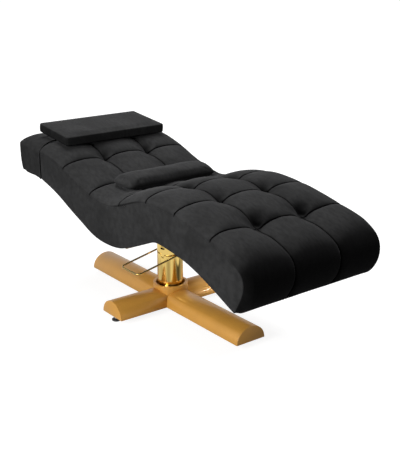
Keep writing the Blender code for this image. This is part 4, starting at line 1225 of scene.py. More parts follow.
def flank_points(outline):
    """Places on the flank: its outline, rings inside it that grow apart, and an even lattice."""
    slope = np.roll(outline, -1, axis=0) - np.roll(outline, 1, axis=0)
    slope /= np.linalg.norm(slope, axis=1)[:, None]
    inward = np.stack([-slope[:, 1], slope[:, 0]], axis=1)
    spots = [outline]
    for inset in FLANK_RINGS_MM:
        ring = outline + inward * inset * MM
        spots.append(ring[distance_to(outline, ring) > 0.93 * inset * MM])
    low, high = outline.min(axis=0), outline.max(axis=0)
    columns = np.arange(low[0], high[0], FLANK_MESH)
    lattice = []
    for number, z in enumerate(np.arange(low[1], high[1], FLANK_MESH * 0.866)):
        shift = FLANK_MESH / 2 if number % 2 else 0.0
        lattice += [(x + shift, z) for x in columns]
    lattice = np.array(lattice)
    spots.append(lattice[distance_to(outline, lattice) > FLANK_MARGIN])
    return np.concatenate(spots)


def flank_depth(flat, outline):
    """How far each place of the flank stands out: rounded at its edge, drawn in by the hood."""
    gaps = distance_to(outline, flat)
    edge = FLANK_ROUND * (1 - quarter_round(np.clip(gaps / FLANK_ROUND, 0.0, 1.0)))
    from_column = flat[:, 0] - COLUMN_X
    beyond_hood = past(from_column, HOOD_HEM_X, FLANK_FREE_STRETCH)
    tucked = 1 - past(from_column, HOOD_HEM_X, FLANK_TUCK_STRETCH)
    most = bpy.context.scene.lash_bed_quilt.flank_swell
    swell = most * smooth_share(gaps, 0.0, FLANK_SWELL_REACH)
    ripple = np.sin(flat[:, 0] * 21.0 + 1.3) * np.sin(flat[:, 1] * 33.0 + flat[:, 0] * 9.0)
    ripple = FLANK_RIPPLE * ripple * smooth_share(gaps, *RIPPLE_STRETCH)
    return (swell + ripple) * beyond_hood - edge - FLANK_TUCK * tucked


def make_flanks():
    """Side panels: velvet drawn over a thin pad, rounded at every edge."""
    outline = flank_outline()
    if signed_area(outline) < 0:
        outline = outline[::-1]
    corners = [Vector((float(x), float(z))) for x, z in flank_points(outline)]
    border = list(range(len(outline)))
    verts, _, faces, _, _, _ = delaunay_2d_cdt(corners, [], [border], 1, 1e-6)
    flat = np.array([(v.x, v.y) for v in verts])
    depth = flank_depth(flat, outline)
    for side, mark in ((-1, "near"), (1, "far")):
        shape = bmesh.new()
        face = [shape.verts.new((x, side * (HALF_WIDTH + d), z)) for (x, z), d in zip(flat, depth)]
        for corner in faces:
            shape.faces.new([face[k] for k in corner])
        loose = [v for v in shape.verts if not v.link_faces]
        bmesh.ops.delete(shape, geom=loose, context="VERTS")
        edges = [e for e in shape.edges if e.is_boundary]
        made = bmesh.ops.extrude_edge_only(shape, edges=edges)["geom"]
        for vert in [v for v in made if isinstance(v, bmesh.types.BMVert)]:
            vert.co.y = side * (HALF_WIDTH - FLANK_THICKNESS)
        rear = [e for e in made if isinstance(e, bmesh.types.BMEdge) and e.is_boundary]
        bmesh.ops.contextual_create(shape, geom=rear)
        bmesh.ops.recalc_face_normals(shape, faces=shape.faces)
        mesh = bpy.data.meshes.new("side_velvet_" + mark)
        shape.to_mesh(mesh)
        shape.free()
        mesh.materials.append(velvet_look())
        item = shade(new_object("side_velvet_" + mark, mesh), 60.0)
        declare(item, "flank_panel_" + mark, "bed")


def hood_half(wide, low, top, along):
    """Right half of a section: up the side, round the shoulder and in towards the middle."""
    width = blend(HOOD_WIDTH_MM, along) * MM
    drop = min(blend(HOOD_DROP_MM, along) * MM, (top - low) / 2)
    power = 2 / blend(HOOD_POWER, along)
    half = [(wide, low + (top - drop - low) * share) for share in HOOD_SIDE_SHARES]
    for step in range(HOOD_ROUND_STEPS + 1):
        turn = math.radians(90) * step / HOOD_ROUND_STEPS
        out = math.cos(turn) ** power if step < HOOD_ROUND_STEPS else 0.0
        half.append((wide - width * (1 - out), top - drop * (1 - math.sin(turn) ** power)))
    inner = wide - width
    return half + [(inner * share, top) for share in HOOD_TOP_SHARES]


def hood_sections():
    """Sections of the hood from its front face to its hem, each from side to side."""
    front = float(SKIN.points[:, 0].min()) - HEAD_CROWN - HOOD_OFF_TOP
    peak = SKIN_MM[5][1] * MM + CREST + HOOD_OFF_TOP
    reach = HOOD_HEM_X - front
    stations = [(front + reach * share, 0.0) for share in HOOD_SHARES]
    stations += [(HOOD_HEM_X - back * MM, swell * MM) for back, swell in HEM_ROLL_MM]
    rake_heights, rakes = np.array(FACE_RAKE_MM).T * MM
    sections = []
    for x, swell in stations:
        cut = HOOD_CORNER * (1 - quarter_round(min(1.0, (x - front) / HOOD_CORNER)))
        low = float(np.interp(x, UNDER.points[:, 0], UNDER.points[:, 1])) - HOOD_LOWER
        along = (x - front) / reach
        top = peak - HOOD_FACE_DROP * (1 - along) - cut + swell
        wide = HALF_WIDTH + HOOD_OFF_SIDE - HOOD_HEM_IN * along + swell - cut
        right = hood_half(wide, low, top, along)
        left = [(-y, z) for y, z in reversed(right)]
        near_front = max(0.0, 1 - (x - front) / RAKE_REACH) ** 2
        section = []
        for y, z in right + [(0.0, top)] + left:
            rake = float(np.interp(z, rake_heights, rakes))
            section.append((x + COLUMN_X + rake * near_front, y, z))
        sections.append(section)
    return sections


def make_hood():
    """The velvet hood over the head end, with its rolled hem."""
    points = np.array(hood_sections())
    rows, columns = points.shape[:2]
    x, y = points[..., 0], points[..., 1]
    from_hem = np.clip((points[-1, 0, 0] - x - FOLD_FROM_HEM) / FOLD_FADE, 0.0, 1.0)
    from_front = np.clip((x - points[0, 0, 0]) / FOLD_FROM_FACE, 0.0, 1.0)
    fold = HOOD_FOLD * np.sin(x * 95.0 + y * 31.0) * np.sin(y * 44.0 - x * 17.0 + 0.6)
    fold = fold * from_hem * from_front
    points[..., 2] += fold
    points[..., 1] += 0.5 * fold * np.sign(y)
    faces = sheet_faces(rows, columns)
    for k in range(columns // 2):
        other = columns - 1 - k
        faces.append((k, k + 1, other - 1, other) if k + 1 < other - 1 else (k, k + 1, other))
    # A darker copy of the velvet: painted shade over the whole hood
    cover = velvet_look("Hood velvet", share=0.8, sheen=0.9)
    item = mesh_piece("head_hood_velvet", points.reshape(-1, 3), faces, cover)
    if max(item.data.polygons, key=lambda face: face.center.z).normal.z < 0:
        item.data.flip_normals()
    wall = item.modifiers.new("wall", "SOLIDIFY")
    wall.thickness = bpy.context.scene.lash_bed_quilt.hood_wall
    wall.offset = -1.0
    wall.use_even_offset = True
    refine(item)
    # Painted shade: the hem's end faces get the darkest copy of the velvet, a dark line along the hem
    item.data.materials.append(shaded_velvet())
    edge = float(points[-1, 0, 0]) - HEM_SHADE_FACE
    for face in item.data.polygons:
        face.material_index = 1 if face.center.x > edge else 0
    shade(item)
    declare(item, "head_hood", "headrest")
    SEAM_LINES["hem"] = [points[-9], points[-10]]


def rounded_block(half, spacing, radius):
    """Points and faces of a block with rounded edges, from a box of even quads."""
    counts = [max(2, int(round(2 * size / spacing))) for size in half]
    ends = [radius * (1 - k / 3) for k in range(3)]
    points = []
    faces = []
    for axis in range(3):
        others = ((axis + 1) % 3, (axis + 2) % 3)
        marks = []
        for other in others:
            inner = half[other] - radius
            line = list(np.linspace(-inner, inner, counts[other]))
            marks.append([-inner - e for e in ends] + line + [inner + e for e in reversed(ends)])
        for sign in (-1, 1):
            start = len(points)
            for a in marks[0]:
                for b in marks[1]:
                    spot = [0.0, 0.0, 0.0]
                    spot[axis] = sign * half[axis]
                    spot[others[0]] = a
                    spot[others[1]] = b
                    points.append(spot)
            for quad in sheet_faces(len(marks[0]), len(marks[1])):
                quad = tuple(start + k for k in quad)
                faces.append(quad if sign > 0 else quad[::-1])
    points = np.array(points)
    core = np.clip(points, radius - half, half - radius)
    out = points - core
    size = np.linalg.norm(out, axis=1, keepdims=True)
    return core + out / np.maximum(size, 1e-9) * radius, faces


def round_corners(points, reach):
    """Draws a block's corners in, seen from above, to quarter circles beyond this reach."""
    beyond = np.abs(points[:, :2]) - reach
    both = (beyond > 0).all(axis=1)
    turned = beyond[both]
    turned *= (turned.max(axis=1) / np.linalg.norm(turned, axis=1))[:, None]
    points[both, :2] = np.sign(points[both, :2]) * (reach + turned)


def make_head_pillow():
    """The flat pillow on the hood: a boxed velvet cover over foam, with blunt ends."""
    padding = bpy.context.scene.lash_bed_padding
    half = np.array(PILLOW_HALF)
    inner = half - PILLOW_SHRINK
    points, faces = rounded_block(inner, PILLOW_MESH, PILLOW_EDGE)
    round_corners(points, inner[:2] - PILLOW_CORNER)
    item = mesh_piece("head_pillow_velvet", points, faces, velvet_look())
    spots = coordinates(item.data)
    band = np.abs(np.abs(spots[:, 2]) - (inner[2] - PILLOW_SEAM))
    side = (np.abs(spots[:, :2]) / half[:2]).max(axis=1)
    sewn = (side > PILLOW_SIDE) & (band < PILLOW_BAND)
    spots = spots + cloth_shift(item, sewn, padding.pillow_cap, padding)
    share = spots / half
    crown = np.clip((1 - share[:, 1] ** 2) * (1 - share[:, 0] ** 2), 0, 1)
    on_face = np.abs(spots[:, 2]) > PILLOW_FACE
    at_end = past(np.abs(spots[:, 1]), half[1], PILLOW_END)
    spots[:, 2] += np.sign(spots[:, 2]) * PILLOW_CROWN * crown * on_face
    bulge = np.clip(1 - (spots[:, 2] / half[2]) ** 2, 0, 1)
    spots[:, 1] += np.sign(spots[:, 1]) * PILLOW_BULGE * at_end * bulge
    tilt = Matrix.Rotation(PILLOW_TILT, 3, "Y")
    centre = Vector((PILLOW_X + COLUMN_X, 0.0, PILLOW_Z))
    move_points(item, [centre + tilt @ Vector(spot) for spot in spots])
    refine(item)
    # Darker copies of the velvet by how level each face lies: painted shade on the pillow's sides,
    # darker painted shade under it
    item.data.materials.append(velvet_look("Velvet against the nap", share=0.5, sheen=0.25))
    item.data.materials.append(shaded_velvet())
    upward = tilt @ Vector((0.0, 0.0, 1.0))
    for face in item.data.polygons:
        level = face.normal.dot(upward)
        face.material_index = 0 if level > PILLOW_LIT else 1 if level > PILLOW_UNDER else 2
    shade(item)
    declare(item, "head_pillow", "headrest")


def make_flap():
    """The velvet strip that ties the pillow to the hood."""
    low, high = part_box("hood_flap")
    centre = (low + high) / 2
    rows, columns = FLAP_MESH
    points = []
    for i in range(rows):
        along = (i / (rows - 1) - 0.5) * FLAP_LENGTH
        for k in range(columns):
            across = (k / (columns - 1) - 0.5) * FLAP_WIDTH
            sag = FLAP_SAG * math.sin(across * 60.0) * math.cos(along * 30.0)
            x = centre.x + along * math.cos(PILLOW_TILT)
            z = centre.z - along * math.sin(PILLOW_TILT) + FLAP_RISE + sag
            points.append((x, across, z))
    faces = sheet_faces(rows, columns)
    item = mesh_piece("hood_flap_velvet", points, faces, velvet_look(), turn_out=False)
    wall = item.modifiers.new("wall", "SOLIDIFY")
    wall.thickness = FLAP_WALL
    wall.offset = -1.0
    settle(item)
    shade(item, 60.0)
    declare(item, "hood_flap", "headrest")


def lumbar_ring(y):
    """One closed section of the bolster, which rests on the top on both sides of the waist."""
    to_end = LUMBAR_HALF_WIDTH - abs(y)
    corner = quarter_round(min(1.0, to_end / LUMBAR_CORNER))
    thick = blend((LUMBAR_THIN_END, 1.0), quarter_round(min(1.0, to_end / LUMBAR_FALL)))
    half_x = LUMBAR_HALF_LENGTH * blend((LUMBAR_SHORT_END, 1.0), corner)
    back = crest_height(LUMBAR_X - half_x) + LUMBAR_LIFT
    front = crest_height(LUMBAR_X + half_x) + LUMBAR_LIFT
    ring = []
    for step in range(LUMBAR_STEPS):
        turn = math.tau * step / LUMBAR_STEPS
        x = half_x * math.cos(turn)
        edge = back + (front - back) * (x + half_x) / (2 * half_x)
        upper = math.sin(turn) > 0
        reach = LUMBAR_TALL - LUMBAR_WAIST if upper else LUMBAR_WAIST + LUMBAR_UNDERCUT
        z = edge + LUMBAR_WAIST + reach * thick * math.sin(turn)
        floor = crest_height(LUMBAR_X + x) - LUMBAR_SINK
        ring.append((LUMBAR_X + x, y + LUMBAR_Y, max(z, floor)))
    return ring


def make_lumbar():
    """The bolster across the waist, with blunt slanting ends."""
    padding = bpy.context.scene.lash_bed_padding
    shares = np.linspace(-1.0, 1.0, LUMBAR_RINGS)
    rings = [lumbar_ring(LUMBAR_HALF_WIDTH * math.sin(share * math.pi / 2)) for share in shares]
    cover = velvet_look("Tufted velvet", pressed=True)
    item = mesh_piece("lumbar_velvet", [p for r in rings for p in r], lofted(rings), cover)
    spots = coordinates(item.data)
    under = spots[:, 2] - crest_height(spots[:, 0]) < -LUMBAR_BEDDED
    spots = spots + cloth_shift(item, under, padding.lumbar_cap, padding)
    x, y = spots[:, 0], spots[:, 1]
    dent = LUMBAR_DENT * np.sin(y * 37.0 + 0.7) * np.sin(x * 52.0 + y * 11.0)
    spots[:, 2] += dent * ~under
    spots[:, 0] += COLUMN_X
    move_points(item, spots)
    refine(item)
    shade(item, 70.0)
    # Painted shade: darker at the bolster's front and underside
    lay_pile(item, 1.0)
    declare(item, "lumbar_pillow", "lumbar")


def make_stitches():
    """Thread in the seams of the top and along the hood's hem."""
    stitch("top_stitches", SEAM_LINES["top"], "bed")
    stitch("hem_stitches", SEAM_LINES["hem"], "headrest")


def finished(node, material, edge=0.6 * MM, steps=2):
    """A welded, smooth copy of a CAD node with its sharp edges eased."""
    source = frame["nodes"][node]
    mesh = source.data.copy()
    shape = bmesh.new()
    shape.from_mesh(mesh)
    bmesh.ops.remove_doubles(shape, verts=shape.verts, dist=WELD)
    bmesh.ops.dissolve_limit(shape, angle_limit=FLAT_ANGLE, verts=shape.verts, edges=shape.edges)
    sharp = [e for e in shape.edges if len(e.link_faces) == 2 and e.calc_face_angle() > SHARP_ANGLE]
    bmesh.ops.bevel(
        shape, geom=sharp, offset=edge, offset_type="OFFSET", segments=steps,
        profile=0.5, affect="EDGES", clamp_overlap=True,
    )
    shape.to_mesh(mesh)
    shape.free()
    mesh.materials.clear()
    mesh.materials.append(material)
    item = shade(new_object(node + "_skin", mesh), 32.0)
    declare(item, node, source["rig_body"])


def dress(nodes, material):
    """Gives CAD nodes that stay as they are their finish."""
    for name in nodes:
        item = frame["nodes"][name]
        item.data.materials.clear()
        item.data.materials.append(material)


def make_base():
    """The cross base: half-round beams, end plates and the ring at their crossing."""
    for node in ("base_long_beam", "base_arm_near", "base_arm_far", "hub_collar"):
        finished(node, paint_look(), 0.7 * MM)
    for mark in ARMS:
        finished("end_plate_" + mark, paint_look(), 0.8 * MM)
        finished("foot_plate_" + mark, paint_look())
    finished("hub_plate", paint_look())


def make_column():
    """The hydraulic column in its polished cover."""
    finished("pump_cover", brass_look(), 0.5 * MM)
    finished("pump_head", brass_look())
    finished("column_key", brass_look(), 1.2 * MM, 3)
    # A darker copy of the brass: painted shade on the pump body in the collar's gap
    finished("pump_body", brass_look("Bronzed steel", share=0.3))
    for node in ("piston", "swivel_plate", "pedal_pin_head", "pedal_pin_foot"):
        finished(node, steel_look())
    for number in range(1, 5):
        # Very dark steel: painted shade on the pump bolts in the collar's gap
        shaded_bolt_steel = steel_look("Blackened steel", share=0.09)
        finished("pump_bolt_" + str(number), shaded_bolt_steel, 0.5 * MM)
        finished("plate_bolt_" + str(number), steel_look(), 0.5 * MM)


def wire_mesh(name, path, radius):
    """A plain mesh of round wire along a path, with closed ends."""
    data = bpy.data.curves.new(name, "CURVE")
    data.dimensions = "3D"
    data.bevel_depth = radius
    data.bevel_resolution = 5
    data.use_fill_caps = True
    line = data.splines.new("POLY")
    line.points.add(len(path) - 1)
    for point, place in zip(line.points, path):
        point.co = (*place, 1.0)
    wire = new_object(name, data)
    mesh = evaluated_copy(wire)
    bpy.data.objects.remove(wire)
    return mesh


def add_eye(shape, x):
    """Adds a bored ring round the pedal's pin at x."""
    rings = []
    for step in range(EYE_STEPS):
        turn = math.tau * step / EYE_STEPS
        ring = []
        for radius, along in EYE_MM:
            y = radius * MM * math.cos(turn)
            z = PEDAL_Z + radius * MM * math.sin(turn)
            ring.append(shape.verts.new((x + along * MM, y, z)))
        rings.append(ring)
    for near, far in zip(rings, rings[1:] + rings[:1]):
        for k in range(len(near)):
            after = (k + 1) % len(near)
            shape.faces.new((near[k], near[after], far[after], far[k]))


def make_pedal():
    """The bent wire pedal with an eye on each pin."""
    half = [(PEDAL_X, PEDAL_START), (PEDAL_X, PEDAL_REACH * 0.3), (PEDAL_X, PEDAL_REACH * 0.6)]
    for step in range(BEND_STEPS + 1):
        turn = math.radians(90) * step / BEND_STEPS
        across = PEDAL_X - PEDAL_BEND * (1 - math.cos(turn))
        half.append((across, PEDAL_REACH - PEDAL_BEND + PEDAL_BEND * math.sin(turn)))
    path = []
    for across, out in half + [(-across, out) for across, out in reversed(half)]:
        place = (COLUMN_X + across, -math.cos(PEDAL_DROOP) * out)
        path.append((*place, PEDAL_Z - math.sin(PEDAL_DROOP) * out))
    mesh = wire_mesh("pedal_wire", path, PEDAL_ROD)
    shape = bmesh.new()
    shape.from_mesh(mesh)
    bmesh.ops.remove_doubles(shape, verts=shape.verts, dist=MERGE)
    for side in (-1, 1):
        add_eye(shape, COLUMN_X + side * PEDAL_X)
    bmesh.ops.recalc_face_normals(shape, faces=shape.faces)
    shape.to_mesh(mesh)
    shape.free()
    mesh.materials.clear()
    # A darker copy of the brass: painted shade for the dark the wire shows under the bed
    mesh.materials.append(brass_look("Pedal brass", share=0.5))
    item = shade(new_object("pedal_wire", mesh), 35.0)
    declare(item, "foot_pedal", "pedal")


def make_feet():
    """The levelling feet: black pads on zinc studs."""
    for mark in ARMS:
        finished("levelling_pad_" + mark, plastic_look(), 0.4 * MM)
        finished("levelling_stud_" + mark, steel_look(), 0.3 * MM)


def make_carcass():
    """Boards, rails and lining of the bed's frame, which keep their solids."""
    dress(["underside_panel_head", "underside_panel_foot"], lining_look())
    rails = ["cross_rail_" + str(number) for number in range(1, 7)]
    dress(["side_board_near", "side_board_far", "deck_panel", "mounting_board", *rails], wood_look())


def aim(item, target):
    """Turns a lamp towards a point."""
    way = Vector(target) - item.location
    item.rotation_euler = way.to_track_quat("-Z", "Y").to_euler()


def soft_light(name, location, size, power):
    """A large soft lamp aimed at the middle of the bed."""
    data = bpy.data.lights.new(name, "AREA")
    data.shape = "RECTANGLE"
    data.size, data.size_y = size
    data.energy = power
    item = new_object(name, data)
    item.location = location
    aim(item, LAMP_TARGET)


def mirrored_floor(look, away):
    """The floor as polished metal sees it: painted reflection bands round the column, fading to pale
    grey further out.
    """
    split = look.add("ShaderNodeSeparateXYZ", {0: look.place})
    forward = look.math("ADD", split.outputs["X"], -COLUMN_X)
    turn = look.math("ARCTAN2", split.outputs["Y"], forward)
    inputs = {"Value": turn, "From Min": -math.pi, "From Max": math.pi}
    share = look.add("ShaderNodeMapRange", inputs)
    stops = [((degrees + 180) / 360, (level, level, level)) for degrees, level in REFLECTION_BANDS]
    bands = look.ramp(share.outputs["Result"], stops)
    inputs = {"Value": away, "From Min": BANDS_END[0], "From Max": BANDS_END[1]}
    open_floor = look.add("ShaderNodeMapRange", inputs).outputs["Result"]
    mix = look.add("ShaderNodeMix", {"Factor": open_floor}, data_type="RGBA")
    colors = [socket for socket in mix.inputs if socket.type == "RGBA"]
    look.tree.links.new(bands, colors[0])
    colors[1].default_value = (0.92, 0.92, 0.92, 1.0)
    return [socket for socket in mix.outputs if socket.type == "RGBA"][0]


def floor_look(stage):
    """The pale floor: lit where the camera sees it, and with painted reflection bands where polished
    metal sees it.
    """
    look = Look("Studio floor", roughness=0.9, Specular_IOR_Level=0.1)
    look.shades(look.noise(3.0, 2.0), stage.floor_color, (0.3, 0.99), (0.7, 1.0))
    rays = look.add("ShaderNodeLightPath")
    away = look.add("ShaderNodeVectorMath", {0: look.place}, operation="LENGTH").outputs["Value"]
    inputs = {"Value": away, "From Min": GLOW_RISE[0], "From Max": GLOW_RISE[1]}
    inputs.update({"To Min": stage.floor_glow, "To Max": 1.0})
    rise = look.add("ShaderNodeMapRange", inputs, interpolation_type="SMOOTHSTEP")
    rising = rise.outputs["Result"]
    straight = (rays.outputs["Is Camera Ray"], rays.outputs["Is Transmission Ray"])
    strength = look.math("MULTIPLY", look.math("MAXIMUM", *straight), rising)
    glow = look.add("ShaderNodeEmission", {"Color": WHITE, "Strength": strength})
    added = look.add("ShaderNodeAddShader", {0: look.shader.outputs[0], 1: glow.outputs[0]})
    # Painted reflection: glossy rays see the bands instead of the lit floor
    mirrored = look.add("ShaderNodeEmission", {"Color": mirrored_floor(look, away)})
    shaders = {0: rays.outputs["Is Glossy Ray"], 1: added.outputs[0], 2: mirrored.outputs[0]}
    mixed = look.add("ShaderNodeMixShader", shaders)
    output = look.tree.nodes["Material Output"]
    look.tree.links.new(mixed.outputs[0], output.inputs["Surface"])
    return look.material


def make_floor(stage):
    """A wide flat floor under the bed."""
    shape = bmesh.new()
    bmesh.ops.create_grid(shape, x_segments=8, y_segments=8, size=FLOOR_HALF)
    mesh = bpy.data.meshes.new("studio_floor")
    shape.to_mesh(mesh)
    shape.free()
    mesh.materials.append(floor_look(stage))
    new_object("studio_floor", mesh)


def make_camera(stage):
    """The camera at the photograph's angle."""
    data = bpy.data.cameras.new("camera")
    data.lens = stage.lens
    data.clip_end = 100.0
    camera = new_object("camera", data)
    camera.location = CAMERA_PLACE
    camera.rotation_euler = (math.radians(90) - CAMERA_DOWN, 0.0, CAMERA_TURN)
    bpy.context.scene.camera = camera


def make_world(stage):
    """White where it is seen or mirrored, and a faint light from all round."""
    world = bpy.data.worlds.new("studio")
    bpy.context.scene.world = world
    world.use_nodes = True
    tree = world.node_tree
    tree.nodes.clear()
    out = tree.nodes.new("ShaderNodeOutputWorld")
    rays = tree.nodes.new("ShaderNodeLightPath")
    seen = tree_math(tree, "MAXIMUM", rays.outputs["Is Camera Ray"], rays.outputs["Is Glossy Ray"])
    seen = tree_math(tree, "MAXIMUM", seen, rays.outputs["Is Transmission Ray"])
    white = tree_node(tree, "ShaderNodeBackground", {"Color": WHITE, "Strength": 1.0})
    soft = tree_node(tree, "ShaderNodeBackground", {"Color": WHITE, "Strength": stage.ambient})
    both = tree_node(tree, "ShaderNodeMixShader", {0: seen, 1: soft.outputs[0], 2: white.outputs[0]})
    tree.links.new(both.outputs[0], out.inputs["Surface"])


def make_lamps(stage):
    """Three large soft lamps, and a narrow one for the far arm of the base."""
    for name, place, size in SOFT_LAMPS:
        soft_light(name, place, size, getattr(stage, name + "_power"))
    data = bpy.data.lights.new("low", "SPOT")
    data.energy = stage.low_power
    data.spot_size = LOW_SPREAD
    data.spot_blend = 1.0
    data.shadow_soft_size = 0.2
    low = new_object("low", data)
    low.location = LOW_LAMP
    aim(low, LOW_TARGET)


def make_stage():
    """Camera, floor, world and lamps, in place of the ones Blender starts with."""
    stage = bpy.context.scene.lash_bed_stage
    bpy.context.scene.view_settings.view_transform = "Standard"
    for item in list(bpy.data.objects):
        if item.type in ("LIGHT", "CAMERA") or item.name == "Cube":
            bpy.data.objects.remove(item)
    make_camera(stage)
    make_floor(stage)
    make_world(stage)
    make_lamps(stage)


class LashBedVelvet(PropertyGroup):
    color: FloatVectorProperty(
        name="Velvet", description="Colour at the root of the pile", subtype="COLOR",
        default=(0.027, 0.027, 0.0273), min=0.0, max=1.0,
    )
    pile_tint: FloatVectorProperty(
        name="Pile", description="Colour of the light that the tips of the pile catch",
        subtype="COLOR", default=(0.42, 0.42, 0.43), min=0.0, max=1.0,
    )
    sheen: FloatProperty(
        name="Sheen", description="How much light the pile catches", default=0.18, min=0.0,
        max=1.0, subtype="FACTOR",
    )
    sheen_roughness: FloatProperty(
        name="Sheen Roughness", description="How wide the pile spreads that light",
        default=0.42, min=0.0, max=1.0, subtype="FACTOR",
    )
    # Painted shade on slopes that face the foot end
    turned_pile: FloatProperty(
        name="Foot Slope Shade", description="How much darker the pile looks on slopes towards the foot",
        default=0.85, min=0.0, max=1.0, subtype="FACTOR",
    )
    thread_color: FloatVectorProperty(
        name="Thread", description="Colour of the sewing thread", subtype="COLOR",
        default=(0.004, 0.004, 0.0045), min=0.0, max=1.0,
    )
    lining_color: FloatVectorProperty(
        name="Lining", description="Colour of the cloth under the bed", subtype="COLOR",
        default=(0.012, 0.012, 0.013), min=0.0, max=1.0,
    )
    stitch_pitch: FloatProperty(
        name="Stitch Pitch", description="Distance from one stitch to the next",
        default=4.2 * MM, min=1 * MM, unit="LENGTH",
    )
    stitch_length: FloatProperty(
        name="Stitch Length", description="Length of a stitch that shows",
        default=3.3 * MM, min=0.5 * MM, unit="LENGTH",
    )
    thread_width: FloatProperty(
        name="Thread Width", description="Thickness of the thread",
        default=0.8 * MM, min=0.1 * MM, unit="LENGTH",
    )


class LashBedQuilt(PropertyGroup):
    crown: FloatProperty(
        name="Crown", description="Height of the cushion's crest over its edge",
        default=41 * MM, min=5 * MM, unit="LENGTH",
    )
    middle_rise: FloatProperty(
        name="Middle Rise", description="How much higher the top stands along its middle",
        default=4 * MM, min=0.0, unit="LENGTH",
    )
    cross_depth: FloatProperty(
        name="Cross Seam Depth", description="How far a crosswise seam is drawn in",
        default=5 * MM, min=0.0, unit="LENGTH",
    )
    cross_reach: FloatProperty(
        name="Cross Seam Reach", description="How far beside a crosswise seam it is drawn in",
        default=15 * MM, min=2 * MM, unit="LENGTH",
    )
    long_depth: FloatProperty(
        name="Long Seam Depth", description="How far a lengthwise seam is drawn in",
        default=16 * MM, min=0.0, unit="LENGTH",
    )
    long_reach: FloatProperty(
        name="Long Seam Reach", description="How far beside a lengthwise seam it is drawn in",
        default=25 * MM, min=2 * MM, unit="LENGTH",
    )
    knot_depth: FloatProperty(
        name="Knot Depth", description="How much further a knot is pulled than its seams",
        default=27 * MM, min=0.0, unit="LENGTH",
    )
    knot_reach: FloatProperty(
        name="Knot Reach", description="How far round a knot the padding is pulled",
        default=37 * MM, min=5 * MM, unit="LENGTH",
    )
    crease_depth: FloatProperty(
        name="Crease Depth", description="Depth of the sharp crease in a seam",
        default=2.6 * MM, min=0.0, unit="LENGTH",
    )
    crease_width: FloatProperty(
        name="Crease Width", description="Half width of the sharp crease in a seam",
        default=1.9 * MM, min=0.2 * MM, unit="LENGTH",
    )
    unevenness: FloatProperty(
        name="Unevenness", description="Height of the soft lumps in the padding",
        default=1.6 * MM, min=0.0, unit="LENGTH",
    )
    flank_swell: FloatProperty(
        name="Flank Swell", description="How far the side panels swell outwards",
        default=2.2 * MM, min=0.0, unit="LENGTH",
    )
    hood_wall: FloatProperty(
        name="Hood Wall", description="Thickness of the hood's cloth and lining",
        default=2.2 * MM, min=1 * MM, unit="LENGTH",
    )


class LashBedPadding(PropertyGroup):
    pressure: FloatProperty(
        name="Pressure", description="How hard the padding pushes against the cloth",
        default=16.0, min=0.0,
    )
    cloth_stiffness: FloatProperty(
        name="Cloth Stiffness", description="How little the cloth stretches",
        default=12.0, min=0.0,
    )
    bending: FloatProperty(
        name="Bending", description="How little the cloth folds", default=0.6, min=0.0,
    )
    frames: IntProperty(
        name="Frames", description="Steps of the cloth simulation", default=20, min=2,
    )
    cushion_cap: FloatProperty(
        name="Top Swell", description="Furthest that the padding lifts the top",
        default=7 * MM, min=0.0, unit="LENGTH",
    )
    pillow_cap: FloatProperty(
        name="Pillow Swell", description="Furthest that the padding lifts the head pillow",
        default=5 * MM, min=0.0, unit="LENGTH",
    )
    lumbar_cap: FloatProperty(
        name="Bolster Swell", description="Furthest that the padding lifts the bolster",
        default=5 * MM, min=0.0, unit="LENGTH",
    )


class LashBedMetal(PropertyGroup):
    gold_color: FloatVectorProperty(
        name="Gold Paint", description="Colour of the painted base", subtype="COLOR",
        default=(0.63, 0.31, 0.055), min=0.0, max=1.0,
    )
    gold_metallic: FloatProperty(
        name="Gold Metallic", description="Share of metal flake in the paint",
        default=0.1, min=0.0, max=1.0, subtype="FACTOR",
    )
    gold_roughness: FloatProperty(
        name="Gold Roughness", description="Roughness of the paint",
        default=0.4, min=0.0, max=1.0, subtype="FACTOR",
    )
    brass_color: FloatVectorProperty(
        name="Brass", description="Colour of the column's cover and the pedal", subtype="COLOR",
        default=(0.84, 0.6, 0.19), min=0.0, max=1.0,
    )
    brass_roughness: FloatProperty(
        name="Brass Roughness", description="Roughness of the polished brass",
        default=0.09, min=0.0, max=1.0, subtype="FACTOR",
    )
    steel_color: FloatVectorProperty(
        name="Steel", description="Colour of the zinc plated steel", subtype="COLOR",
        default=(0.5, 0.5, 0.51), min=0.0, max=1.0,
    )
    plastic_color: FloatVectorProperty(
        name="Plastic", description="Colour of the levelling pads", subtype="COLOR",
        default=(0.012, 0.012, 0.013), min=0.0, max=1.0,
    )
    wood_color: FloatVectorProperty(
        name="Plywood", description="Colour of the boards inside", subtype="COLOR",
        default=(0.52, 0.36, 0.19), min=0.0, max=1.0,
    )


class LashBedStage(PropertyGroup):
    lens: FloatProperty(
        name="Lens", description="Focal length of the camera",
        default=65.35, min=10.0, unit="CAMERA",
    )
    floor_color: FloatVectorProperty(
        name="Floor", description="Colour of the floor", subtype="COLOR",
        default=(0.3, 0.3, 0.3), min=0.0, max=1.0,
    )
    floor_glow: FloatProperty(
        name="Floor Glow", description="Light added to the floor where the camera sees it",
        default=0.87, min=0.0,
    )
    ambient: FloatProperty(
        name="Ambient", description="Strength of the light from all round", default=0.03, min=0.0,
    )
    key_power: FloatProperty(
        name="Key", description="Power of the light beside the near flank",
        default=108.0, min=0.0, unit="POWER",
    )
    top_power: FloatProperty(
        name="Top", description="Power of the light overhead",
        default=420.0, min=0.0, unit="POWER",
    )
    far_power: FloatProperty(
        name="Far", description="Power of the light beyond the far side",
        default=42.0, min=0.0, unit="POWER",
    )
    low_power: FloatProperty(
        name="Low", description="Power of the small light on the far arm of the base",
        default=150.0, min=0.0, unit="POWER",
    )


class LASHBED_OT_stage(Operator):
    """Adds the floor, the studio light and the camera"""

    bl_idname = "lash_bed.stage"
    bl_label = "Stage"

    def execute(self, context):
        make_stage()
        return {"FINISHED"}


